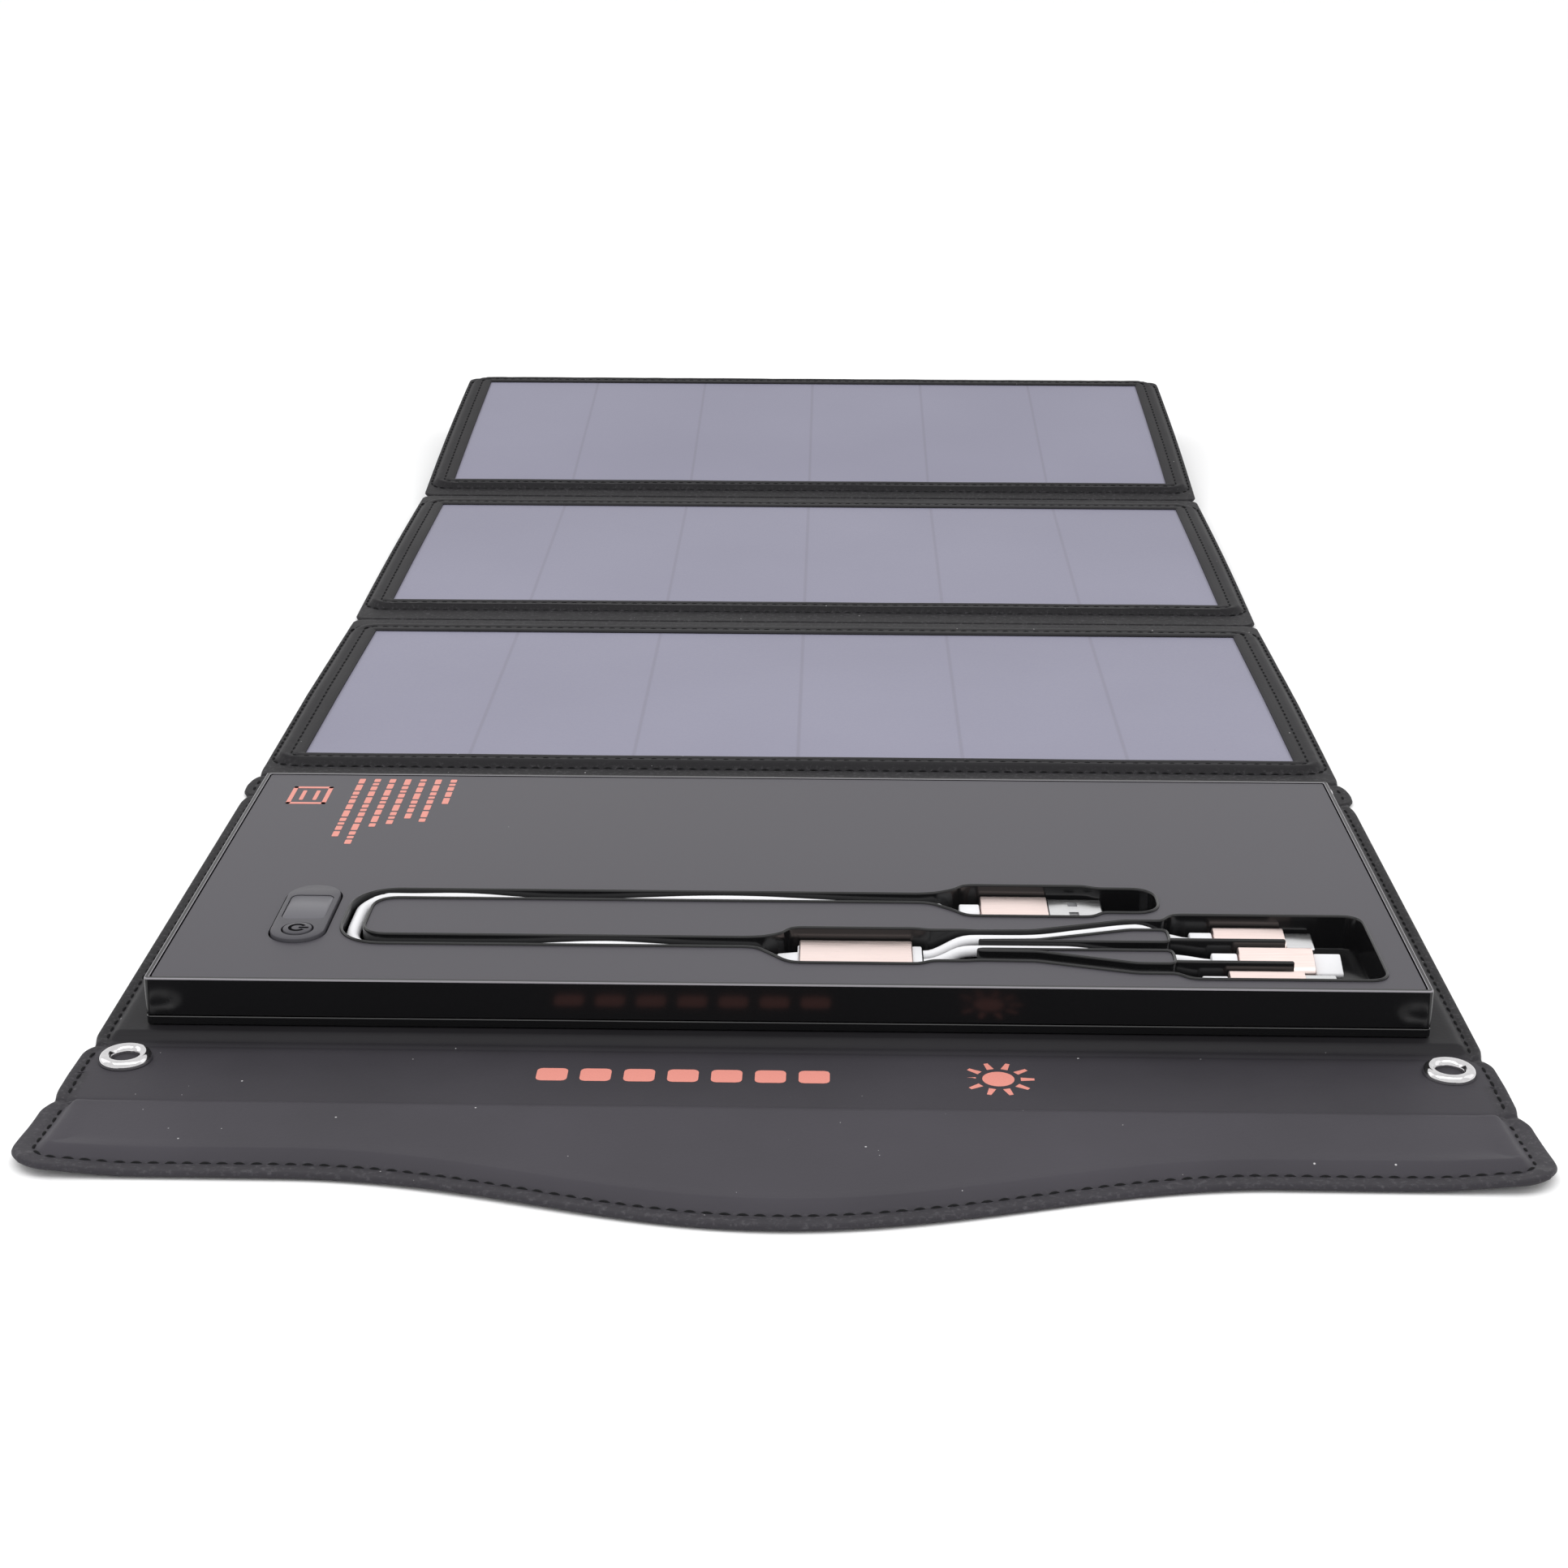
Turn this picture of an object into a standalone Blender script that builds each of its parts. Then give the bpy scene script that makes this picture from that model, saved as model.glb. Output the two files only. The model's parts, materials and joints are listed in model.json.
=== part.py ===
"""Folding solar charger in a soft leather wallet, laid open.

A flat power bank is fixed on the bank leaf of the wallet. Behind it a gusset strip and three
solar leaves unfold in a row; in front of it a spine strip and a padded closing flap. A charging
lead with one USB-A plug and three device plugs lies in a moulded tray in the bank's top.

Axes: +X right, +Y away from the closing flap towards the far solar leaf, +Z up, metres.
Lengths below are in millimetres and go through MM. Local y = 0 is the bank's front edge.
"""
import math

import bmesh
import bpy
from mathutils import Vector

MM = 0.001

# ---- clearances and layer thicknesses -------------------------------------------------------
GAP = 0.25                 # between layers that lie on each other
RUN = 0.2                  # from a fold axis to the strips on either side of it
SKIN = 0.5                 # leather skin
LEAF_THICK = 3.0           # padded leaf, underside to face
HEM_TOP = 1.3              # face of the sewn hem, where two skins meet
HEM = 2.0                  # width of the flat sewn hem
SLOPE = 1.4                # width of the step from hem up to the padded face
OUTLINE_SEGMENTS = 5       # facets in each rounded corner

# ---- power bank -----------------------------------------------------------------------------
BANK_W, BANK_D = 272.0, 128.0
BANK_TOP = 13.8            # rim of the side frame
BASE_Z0, BASE_Z1 = 3.1, 5.0
FRAME_Z0 = 5.25
FRAME_WALL = 1.1
PLATE_Z0, PLATE_Z1 = 12.3, 13.6
PLAN_STRETCH = 128.0 / 126.0   # the bank's details are dimensioned on a 126 mm deep drawing

# ---- wallet layout, local y -----------------------------------------------------------------
FRONT_FOLD_Y = -6.5        # bank leaf / spine strip
SPINE_LEN = 25.2
REAR_FOLD_Y = 144.5        # bank leaf / gusset strip
GUSSET_LEN = 15.4
BANK_LEAF_HALF = 146.5
STRIP_HALF = 147.6
LEAF_HALF = 146.0
LEAF_CORNER_R = 4.0
STRIP_CORNER_R = 5.0
FOLD_CLEAR = 0.15          # fold axis off the leather, so folded leaves lie 0.3 mm apart

WINDOW_HALF = 136.0        # visible half width of a solar laminate
WINDOW_DEPTH = 117.0
BORDER = 6.0               # padded border round the window
LAMINATE_LAP = 3.0         # laminate hidden under the border
LAMINATE_THICK = 0.65
FOLD_IN = 0.6              # how much smaller a skin's hollow underside is than its face

# window start and length to the next fold, from each leaf's own fold
LEAF_3_WINDOW, LEAF_3_LEN = 14.7, 148.6
LEAF_2_WINDOW, LEAF_2_LEN = 17.1, 151.0
LEAF_1_WINDOW, LEAF_1_LEN = 14.1, 139.6
LEAF_2_TILT = 1.5          # degrees that the opened leaf still stands up from the one before
LEAF_1_TILT = 5.5

# ---- closing flap ---------------------------------------------------------------------------
FLAP_HALF = 149.0
FLAP_SIDE_LEN = 30.0       # fold to corner
FLAP_TIP_DROP = 17.5       # extra length at the middle
FLAP_TIP_HALF = 95.0       # half width of the curved middle
FLAP_CORNER_R = 9.0
FLAP_THICK = 2.9
FLAP_HEM = 3.5             # width of the flat sewn edge
MAGNET_X, MAGNET_Y, MAGNET_R = 55.0, -24.0, 6.0
KEEPER_REACH = 12.0        # the steel strip's ends beyond the magnets' centres
KEEPER_DEPTH = 16.0

# ---- grommets -------------------------------------------------------------------------------
GROMMET_X = 137.2
GROMMET_FROM_FOLD = 6.8
GROMMET_R, GROMMET_HOLE_R = 5.5, 3.2

# ---- charging lead, plan dimensions on the bank ----------------------------------------------
CABLE_R = 1.5
BRANCH_R = 1.25
GROOVE_HALF = 2.1
CABLE_Z = 10.9
PLUG_Z = 9.3
GROOVE_FLOOR = 8.9
POCKET_FLOOR = 5.95
FAN_FLOOR = 7.6
TRAY_Z0, TRAY_Z1 = 5.25, 12.0
LIP = 0.7
LIP_TOP = 14.1
LANES = (33.65, 22.15, 10.65)  # centre lines of the three plug lanes, y on the plan
UPPER_Y, LOWER_Y, TURN_X = 47.3, 22.0, 39.35
TURN_R = 7.3
JUNCTION = (138.5, 163.3, 20.8)     # x from, x to, y centre
USB_A_Y = 46.9
SLAB = (35.2, 266.4, 3.2, 57.6)     # the tray's slab: x from, x to, y from, y to
BRANCHES = (
    ((163.0, 26.0), (176.0, 26.6), (190.0, 27.1), (200.0, 29.9), (211.0, 33.1), (222.0, 33.2)),
    ((163.0, 21.2), (176.0, 21.7), (200.0, 21.8), (222.0, 21.9)),
    ((163.0, 16.2), (176.0, 16.1), (190.0, 15.9), (200.0, 13.2), (211.0, 10.3), (222.0, 10.3)),
)
BRANCH_START_Y = (25.2, 20.8, 16.4)
BRANCH_END_X = (224.8, 228.2, 224.8)
FINS = (28.0, 16.3)                 # dividers between the plug lanes, y on the plan
CONTACT_Z = 0.1                     # a cable's ends run level with its fittings

# name, lane, collar x, sleeve x, end x, tip x, (width, height, radius, wall), roll in degrees
DEVICE_PLUGS = (
    ("micro_usb", LANES[0], 225.2, 230.5, 246.5, 252.5, (6.85, 1.8, 0.5, 0.3), 8.0),
    ("slim_tab", LANES[1], 228.6, 234.5, 251.0, 257.0, (6.65, 1.5, 0.7, 0.0), 22.0),
    ("usb_c", LANES[2], 225.2, 231.0, 247.5, 254.0, (8.3, 2.4, 1.15, 0.3), 8.0),
)
PLUG_BACK = 1.2                     # thickness of the closed back of a plug's metal shell

# ---- display and power button, plan dimensions -------------------------------------------------
PILL = (21.8, 33.8, 19.7, 50.5)     # cover: x from, x to, y from, y to
PILL_R = 5.9
PILL_TOP = 14.4
SCREEN = (22.9, 32.7, 30.6, 44.3)
SCREEN_R = 1.8
BUTTON = (27.8, 25.3)               # centre
BUTTON_R = 3.2
BUTTON_HOLE_R = 3.5

# ---- inside the bank, and the sockets in its left side ----------------------------------------
CELLS = (("left", 24.0, 142.0), ("right", 146.0, 264.0))   # x from, x to
CELL_Y = (60.5, 122.5)
CELL_Z = (5.4, 11.6)
CIRCUIT = (3.5, 34.0, 5.0, 58.0)    # x from, x to, y from, y to
CIRCUIT_Z = (6.2, 7.8)
PORT_Z = 9.2
PORT_DEPTH = 12.0
PORT_CLEAR = 0.3                    # round a socket's shell in the side frame
# name, local y, width, height, corner radius, wall, tongue width, tongue thickness
PORTS = (
    ("usb_a_port", 73.0, 13.1, 5.7, 0.5, 0.35, 11.1, 1.8),
    ("usb_c_port", 94.5, 9.1, 3.3, 1.6, 0.3, 6.7, 0.7),
)


# =============================================================================================
# helpers
# =============================================================================================
def clear_scene():
    for old in list(bpy.data.objects):
        bpy.data.objects.remove(old, do_unlink=True)


def material(name, colour, roughness, metallic=0.0):
    mat = bpy.data.materials.get(name)
    if mat:
        return mat
    mat = bpy.data.materials.new(name)
    mat.use_nodes = True
    shader = mat.node_tree.nodes["Principled BSDF"]
    shader.inputs["Base Color"].default_value = (*colour, 1.0)
    shader.inputs["Roughness"].default_value = roughness
    shader.inputs["Metallic"].default_value = metallic
    return mat


def leather():
    return material("leather", (0.045, 0.043, 0.048), 0.6)


def board():
    return material("board", (0.35, 0.3, 0.24), 0.8)


def laminate():
    return material("solar_laminate", (0.33, 0.32, 0.42), 0.45)


def black_plastic():
    return material("black_plastic", (0.012, 0.012, 0.013), 0.25)


def satin_plate():
    return material("satin_plate", (0.13, 0.125, 0.14), 0.45)


def white_plastic():
    return material("white_plastic", (0.85, 0.85, 0.87), 0.4)


def rose_metal():
    return material("rose_metal", (0.9, 0.62, 0.55), 0.3, 1.0)


def steel():
    return material("steel", (0.75, 0.75, 0.75), 0.2, 1.0)


def chrome():
    return material("chrome", (0.85, 0.85, 0.86), 0.12, 1.0)


def display_glass():
    return material("display_glass", (0.1, 0.1, 0.12), 0.2)


def foam():
    return material("foam", (0.2, 0.2, 0.2), 0.9)


def magnet_metal():
    return material("magnet", (0.55, 0.55, 0.57), 0.3, 1.0)


def circuit():
    return material("circuit_board", (0.02, 0.16, 0.07), 0.5)


def cell_foil():
    return material("cell_foil", (0.6, 0.6, 0.62), 0.35, 1.0)


def frame_empty(name, parent, place, tilt_deg=0.0):
    """An empty on a fold axis: a moving piece's parent."""
    empty = bpy.data.objects.new(name, None)
    bpy.context.collection.objects.link(empty)
    empty.parent = parent
    empty.location = Vector(place) * MM
    empty.rotation_euler = (math.radians(tilt_deg), 0.0, 0.0)
    return empty


def finish_mesh(name, bm, parent, mat, smooth_deg=None):
    """Write the bmesh to a named object under its parent frame."""
    bmesh.ops.recalc_face_normals(bm, faces=bm.faces)
    mesh = bpy.data.meshes.new(name)
    bm.to_mesh(mesh)
    bm.free()
    if smooth_deg:
        mesh.shade_smooth()
        mesh.set_sharp_from_angle(angle=math.radians(smooth_deg))
    mesh.materials.append(mat)
    obj = bpy.data.objects.new(name, mesh)
    bpy.context.collection.objects.link(obj)
    obj.parent = parent
    return obj


def arc(cx, cy, r, start, end, steps):
    """Points on an arc, degrees, both ends included."""
    turns = [math.radians(start + (end - start) * i / steps) for i in range(steps + 1)]
    return [(cx + r * math.cos(a), cy + r * math.sin(a)) for a in turns]


def rounded_rect(x0, x1, y0, y1, r, steps=OUTLINE_SEGMENTS):
    """Counter-clockwise outline of a rectangle with round corners."""
    return (arc(x1 - r, y0 + r, r, -90, 0, steps) + arc(x1 - r, y1 - r, r, 0, 90, steps)
            + arc(x0 + r, y1 - r, r, 90, 180, steps) + arc(x0 + r, y0 + r, r, 180, 270, steps))


def circle(cx, cy, r, steps=24):
    return arc(cx, cy, r, 0, 360 - 360 / steps, steps - 1)


def add_loop(bm, outline, z):
    return [bm.verts.new((x * MM, y * MM, z * MM)) for x, y in outline]


def bridge(bm, low, high):
    count = len(low)
    for i in range(count):
        j = (i + 1) % count
        bm.faces.new((low[i], low[j], high[j], high[i]))


def stack(name, loops, parent, mat, ring=False):
    """A closed solid through outlines of equal point count: capped at its ends, or a closed
    ring whose last outline joins the first. loops holds (outline, z)."""
    bm = bmesh.new()
    rows = [add_loop(bm, outline, z) for outline, z in loops]
    for low, high in zip(rows, rows[1:]):
        bridge(bm, low, high)
    if ring:
        bridge(bm, rows[-1], rows[0])
    else:
        bm.faces.new(rows[0])
        bm.faces.new(rows[-1])
    return finish_mesh(name, bm, parent, mat)


def prism(name, outline, z0, z1, parent, mat, holes=()):
    """Extrude a flat outline, with holes in it, from z0 up to z1."""
    bm = bmesh.new()
    for points in (outline, *holes):
        verts = add_loop(bm, points, z0)
        for i, vert in enumerate(verts):
            bm.edges.new((vert, verts[(i + 1) % len(verts)]))
    bmesh.ops.triangle_fill(bm, use_beauty=True, use_dissolve=False, edges=bm.edges[:])
    raised = bmesh.ops.extrude_face_region(bm, geom=bm.faces[:], use_keep_orig=True)
    moved = [v for v in raised["geom"] if isinstance(v, bmesh.types.BMVert)]
    bmesh.ops.translate(bm, verts=moved, vec=(0.0, 0.0, (z1 - z0) * MM))
    return finish_mesh(name, bm, parent, mat)


def cutter_prism(outline, z0, z1, parent):
    """A hidden solid for a boolean modifier."""
    obj = stack("cutter", [(outline, z0), (outline, z1)], parent, foam())
    obj.hide_render = True
    obj.display_type = 'WIRE'
    return obj


def boolean(obj, other, operation):
    mod = obj.modifiers.new(operation.lower(), 'BOOLEAN')
    mod.operation = operation
    mod.solver = 'EXACT'
    mod.object = other


# =============================================================================================
# wallet leaves and strips
# =============================================================================================
def padded_loops(x_half, y0, y1, corner, borders, z_hem, z_face, hems):
    """Three outlines of a padded skin's surface: outer edge, start of the step, padded face.
    borders holds the distances from the outer edge to the padded face at the left and right,
    the near and the far side; hems holds those to the start of the step."""
    side_b, near_b, far_b = borders
    side_h, near_h, far_h = hems
    outer = rounded_rect(-x_half, x_half, y0, y1, corner)
    step = rounded_rect(-x_half + side_h, x_half - side_h, y0 + near_h, y1 - far_h, corner)
    face = rounded_rect(-x_half + side_b, x_half - side_b, y0 + near_b, y1 - far_b, corner - 1.0)
    return [(outer, z_hem), (step, z_hem), (face, z_face)]


def inset_outline(outline, amount):
    """The same outline, drawn in by amount on every side."""
    xs = [p[0] for p in outline]
    ys = [p[1] for p in outline]
    cx, cy = (min(xs) + max(xs)) / 2, (min(ys) + max(ys)) / 2
    sx = 1.0 - amount / (max(xs) - cx)
    sy = 1.0 - amount / (max(ys) - cy)
    return [(cx + (x - cx) * sx, cy + (y - cy) * sy) for x, y in outline]


def flat_sheet(name, x_half, y0, y1, corner, z0, z1, parent, mat, holes=()):
    outline = rounded_rect(-x_half, x_half, y0, y1, corner)
    return prism(name, outline, z0, z1, parent, mat, holes)


def bank_leaf(root):
    """The leaf under the power bank: outer skin, stiffener board, inner skin with a sewn hem."""
    y0, y1 = FRONT_FOLD_Y + RUN, REAR_FOLD_Y - RUN
    flat_sheet("bank_leaf_outer_skin", BANK_LEAF_HALF, y0, y1, LEAF_CORNER_R, 0.0, SKIN,
               root, leather())
    inner_top = BASE_Z0 - GAP
    reach = HEM + SLOPE
    top = padded_loops(BANK_LEAF_HALF, y0, y1, LEAF_CORNER_R, (reach,) * 3, HEM_TOP,
                       inner_top, (HEM,) * 3)
    z_hem_low = SKIN + GAP
    under = [(inset_outline(top[2][0], FOLD_IN), inner_top - SKIN),
             (inset_outline(top[1][0], FOLD_IN), z_hem_low), (top[0][0], z_hem_low)]
    stack("bank_leaf_inner_skin", under + top, root, leather())
    inside = reach + 1.0
    flat_sheet("bank_leaf_board", BANK_LEAF_HALF - inside, y0 + inside, y1 - inside, 3.0,
               SKIN + GAP, inner_top - SKIN - GAP, root, board())


def solar_leaf(number, frame, z_under, window_y, length, far_fold):
    """One solar leaf: outer skin, stiffener board, solar laminate and the framed front skin.
    z_under is its underside in the fold frame, far_fold whether another fold follows."""
    name = "leaf_%d" % number
    y0 = RUN
    y1 = length - RUN if far_fold else length
    flat_sheet(name + "_outer_skin", LEAF_HALF, y0, y1, LEAF_CORNER_R, z_under, z_under + SKIN,
               frame, leather())
    face_y0, face_y1 = window_y - BORDER, window_y + WINDOW_DEPTH + BORDER
    side = LEAF_HALF - WINDOW_HALF - BORDER - 1.0
    borders = (side, face_y0 - y0, y1 - face_y1)
    hems = tuple(b - SLOPE for b in borders)
    z_hem, z_face = z_under + HEM_TOP, z_under + LEAF_THICK
    top = padded_loops(LEAF_HALF, y0, y1, LEAF_CORNER_R, borders, z_hem, z_face, hems)
    window = rounded_rect(-WINDOW_HALF, WINDOW_HALF, window_y, window_y + WINDOW_DEPTH, 1.5)
    z_low = z_face - SKIN
    z_hem_low = z_under + SKIN + GAP
    under = [(inset_outline(top[2][0], FOLD_IN), z_low),
             (inset_outline(top[1][0], FOLD_IN), z_hem_low), (top[0][0], z_hem_low)]
    loops = [(window, z_face), (window, z_low)] + under + top
    stack(name + "_frame_skin", loops, frame, leather(), ring=True)
    lap = LAMINATE_LAP
    z_lam = z_low - GAP
    half = WINDOW_HALF + lap
    lam_y0, lam_y1 = window_y - lap, window_y + WINDOW_DEPTH + lap
    flat_sheet(name + "_solar_laminate", half, lam_y0, lam_y1, 2.0, z_lam - LAMINATE_THICK,
               z_lam, frame, laminate())
    z0, z1 = z_under + SKIN + GAP, z_lam - LAMINATE_THICK - GAP
    holes = ()
    if number == 1:
        holes = (keeper_outline(0.3),)
        prism("keeper_strip", keeper_outline(0.0), z0, z1, frame, steel())
    flat_sheet(name + "_board", half, lam_y0, lam_y1, 2.0, z0, z1, frame, board(), holes)


def keeper_outline(grow):
    """Steel strip in the last leaf's board, where the flap's magnets land."""
    far = LEAF_1_WINDOW + WINDOW_DEPTH - BORDER
    half = MAGNET_X + KEEPER_REACH + grow
    return rounded_rect(-half, half, far - KEEPER_DEPTH - grow, far + grow, 2.0, 3)


def grommet(name, x, y, frame):
    """A turned eyelet: domed ring on the inner skin, barrel, and a flat washer below it."""
    profile = [(GROMMET_HOLE_R, -0.3), (GROMMET_HOLE_R, 1.0), (3.75, 1.55), (4.4, 1.65),
               (5.1, 1.3), (GROMMET_R, 0.6), (GROMMET_R, 0.25), (3.85, 0.25), (3.85, -0.75),
               (GROMMET_R, -0.75), (GROMMET_R, -1.2), (GROMMET_HOLE_R, -1.2)]
    bm = bmesh.new()
    rows = [add_loop(bm, circle(x, y, r), z) for r, z in profile]
    for low, high in zip(rows, rows[1:]):
        bridge(bm, low, high)
    bridge(bm, rows[-1], rows[0])
    return finish_mesh(name, bm, frame, chrome(), 40)


def strip(name, frame, near_y, far_y, grommet_y):
    """A folding strip of two skins with an eyelet at each end. Its frame is on the fold axis,
    level with the face of the inner skin."""
    low, high = min(near_y, far_y), max(near_y, far_y)
    holes_out = [circle(side * GROMMET_X, grommet_y, GROMMET_R + 0.35) for side in (-1, 1)]
    holes_in = [circle(side * GROMMET_X, grommet_y, 4.2) for side in (-1, 1)]
    flat_sheet(name + "_outer_skin", STRIP_HALF, low, high, STRIP_CORNER_R, -HEM_TOP,
               -HEM_TOP + SKIN, frame, leather(), holes_out)
    flat_sheet(name + "_inner_skin", STRIP_HALF, low, high, STRIP_CORNER_R,
               -HEM_TOP + SKIN + GAP, 0.0, frame, leather(), holes_in)
    grommet(name + "_grommet_left", -GROMMET_X, grommet_y, frame)
    grommet(name + "_grommet_right", GROMMET_X, grommet_y, frame)


def flap_outline(inset):
    """Closing flap: straight fold edge, round corners and a blunt curved tip in the middle.
    Local y runs down from the fold axis."""
    half = FLAP_HALF - inset
    side = -(FLAP_SIDE_LEN - inset)
    r = FLAP_CORNER_R - inset
    near = -RUN - inset
    steps = 24
    points = [(half, near), (-half, near)]
    points += arc(-half + r, side + r, r, 180, 270, 5)
    for i in range(1, steps):
        x = -FLAP_TIP_HALF + 2 * FLAP_TIP_HALF * i / steps
        drop = FLAP_TIP_DROP * (0.5 + 0.5 * math.cos(math.pi * x / FLAP_TIP_HALF))
        points.append((x, side - drop))
    points += arc(half - r, side + r, r, 270, 360, 5)
    return points


def flap(frame):
    """Padded closing flap with two magnets in its foam. The frame is on its fold axis."""
    base = -HEM_TOP
    face = base + FLAP_THICK
    outer = flap_outline(0.0)
    prism("flap_outer_skin", outer, base, base + SKIN, frame, leather())
    hem, step = FLAP_HEM, FLAP_HEM + SLOPE
    z_low = base + SKIN + GAP
    upper = [(outer, 0.0), (flap_outline(hem), 0.0), (flap_outline(step), face)]
    lower = [(flap_outline(step + FOLD_IN), face - SKIN), (flap_outline(hem + FOLD_IN), z_low),
             (outer, z_low)]
    stack("flap_inner_skin", lower + upper, frame, leather())
    holes = [circle(side * MAGNET_X, MAGNET_Y, MAGNET_R + 0.3, 20) for side in (-1, 1)]
    z1 = face - SKIN - GAP
    prism("flap_foam_pad", flap_outline(step + 1.6), z_low, z1, frame, foam(), holes)
    for side, label in ((-1, "left"), (1, "right")):
        disc = circle(side * MAGNET_X, MAGNET_Y, MAGNET_R, 20)
        stack("flap_magnet_" + label, [(disc, z_low), (disc, z1)], frame, magnet_metal())


# =============================================================================================
# power bank
# =============================================================================================
def plan(x, y):
    """A point on the bank's plan, measured from its front left corner, in local x and y."""
    return x - BANK_W / 2, y * PLAN_STRETCH


def plan_rect(x0, x1, y0, y1, r, grow=0.0, steps=OUTLINE_SEGMENTS):
    points = rounded_rect(x0 - grow, x1 + grow, y0 - grow, y1 + grow, r + grow, steps)
    return [plan(x, y) for x, y in points]


def ribbon(path, grow=0.0):
    """Outline of a channel from its centre line: path holds (x, y, half width), and the ends
    are square and reach grow further out."""
    left, right = [], []
    last = len(path) - 1
    for i, (x, y, half) in enumerate(path):
        x_a, y_a, _ = path[max(i - 1, 0)]
        x_b, y_b, _ = path[min(i + 1, last)]
        run = math.hypot(x_b - x_a, y_b - y_a)
        ux, uy = (x_b - x_a) / run, (y_b - y_a) / run
        push = grow * ((i == last) - (i == 0))
        cx, cy = x + ux * push, y + uy * push
        wide = half + grow
        left.append((cx - uy * wide, cy + ux * wide))
        right.append((cx + uy * wide, cy - ux * wide))
    return [plan(x, y) for x, y in right + left[::-1]]


def turn_path(upper_x, lower_x):
    """Centre line of the lead's long U: along the upper groove from upper_x, round, and back
    along the lower groove to lower_x."""
    points = [(upper_x, UPPER_Y), (120.0, UPPER_Y), (80.0, UPPER_Y)]
    points += arc(TURN_X + TURN_R, UPPER_Y - TURN_R, TURN_R, 90, 180, 6)
    points += arc(TURN_X + TURN_R, LOWER_Y + TURN_R, TURN_R, 180, 270, 6)
    return points + [(80.0, LOWER_Y), (112.0, LOWER_Y), (lower_x, LOWER_Y)]


def channel_outlines(grow):
    """(outline, floor) of every channel and pocket of the cable tray."""
    def lane(points, half=GROOVE_HALF):
        return ribbon([(x, y, half) for x, y in points], grow)

    def flare(x0, y0, half0, x1, y1, half1):
        return ribbon([(x0, y0, half0), (x1, y1, half1)], grow)

    return [
        (lane(turn_path(173.0, 134.0)), GROOVE_FLOOR),
        (flare(168.0, UPPER_Y, GROOVE_HALF, 176.5, 46.6, 8.2), POCKET_FLOOR),
        (plan_rect(175.5, 205.5, 38.0, 54.8, 2.0, grow), POCKET_FLOOR),
        (plan_rect(198.0, 219.0, 40.5, 53.5, 4.0, grow), POCKET_FLOOR),
        (flare(129.5, LOWER_Y, GROOVE_HALF, 137.5, 20.8, 8.7), POCKET_FLOOR),
        (plan_rect(136.5, 166.5, 11.9, 29.7, 2.0, grow), POCKET_FLOOR),
        (plan_rect(160.0, 176.5, 13.8, 28.9, 1.5, grow), FAN_FLOOR),
        (lane(BRANCHES[0]), GROOVE_FLOOR),
        (lane(BRANCHES[1], 1.8), GROOVE_FLOOR),
        (lane(BRANCHES[2]), GROOVE_FLOOR),
        (plan_rect(220.0, 263.5, 5.5, 38.8, 3.0, grow), POCKET_FLOOR),
    ]


def fan_outline(grow):
    """The ground between the three branch channels."""
    return ribbon([(168.0, 21.3, 7.0), (190.0, 21.5, 7.3), (211.0, 21.75, 13.0),
                   (221.5, 21.75, 13.0)], grow)


def cable_tray(root):
    """Moulded tray: a slab with channels and pockets sunk in it, and a raised lip round them."""
    slab = plan_rect(*SLAB, 3.0)
    tray = stack("cable_tray", [(slab, TRAY_Z0), (slab, TRAY_Z1)], root, black_plastic())
    boolean(tray, cutter_prism(fan_outline(0.0), TRAY_Z1 - 1.0, PLATE_Z1, root), 'UNION')
    for i, (outline, _) in enumerate(channel_outlines(LIP)):
        boolean(tray, cutter_prism(outline, TRAY_Z1 - 1.5 - 0.01 * i, LIP_TOP, root), 'UNION')
    for outline, floor in channel_outlines(0.0):
        boolean(tray, cutter_prism(outline, floor, LIP_TOP + 2.0, root), 'DIFFERENCE')
    for y in FINS:
        outline = plan_rect(219.0, 245.5, y - 0.5, y + 0.5, 0.45, 0.0, 2)
        boolean(tray, cutter_prism(outline, POCKET_FLOOR - 0.4, PLATE_Z1 - 0.6, root), 'UNION')


def display_outline(grow):
    return plan_rect(*PILL, PILL_R, grow, 8)


def bank_housing(root):
    """Base plate, side frame and top plate with its cut-outs."""
    half = BANK_W / 2
    outer = rounded_rect(-half, half, 0.0, BANK_D, 1.0, 2)
    stack("bank_base_plate", [(outer, BASE_Z0), (outer, BASE_Z1)], root, black_plastic())
    wall = FRAME_WALL
    inner = rounded_rect(-half + wall, half - wall, wall, BANK_D - wall, 0.6, 2)
    side = prism("bank_side_frame", outer, FRAME_Z0, BANK_TOP, root, black_plastic(), (inner,))
    for _, y, wide, tall, r, *_ in PORTS:
        cut = port_outline(wide + 2 * PORT_CLEAR, tall + 2 * PORT_CLEAR, r + 0.2)
        boolean(side, side_cutter(cut, y, -half - 1.0, -half + wall + 1.0, root), 'DIFFERENCE')
    gap = wall + 0.3
    plate_line = rounded_rect(-half + gap, half - gap, gap, BANK_D - gap, 0.5, 2)
    plate = stack("bank_top_plate", [(plate_line, PLATE_Z0), (plate_line, PLATE_Z1)], root,
                  satin_plate())
    grown = LIP + 0.3
    boolean(plate, cutter_prism(fan_outline(grown), PLATE_Z0 - 1, PLATE_Z1 + 1, root),
            'DIFFERENCE')
    for outline, _ in channel_outlines(grown):
        boolean(plate, cutter_prism(outline, PLATE_Z0 - 1, PLATE_Z1 + 1, root), 'DIFFERENCE')
    boolean(plate, cutter_prism(display_outline(0.3), PLATE_Z0 - 1, PLATE_Z1 + 1, root),
            'DIFFERENCE')


def port_outline(wide, tall, r):
    """A port's mouth in the y-z plane, centred."""
    return rounded_rect(-wide / 2, wide / 2, -tall / 2, tall / 2, r, 4)


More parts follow.
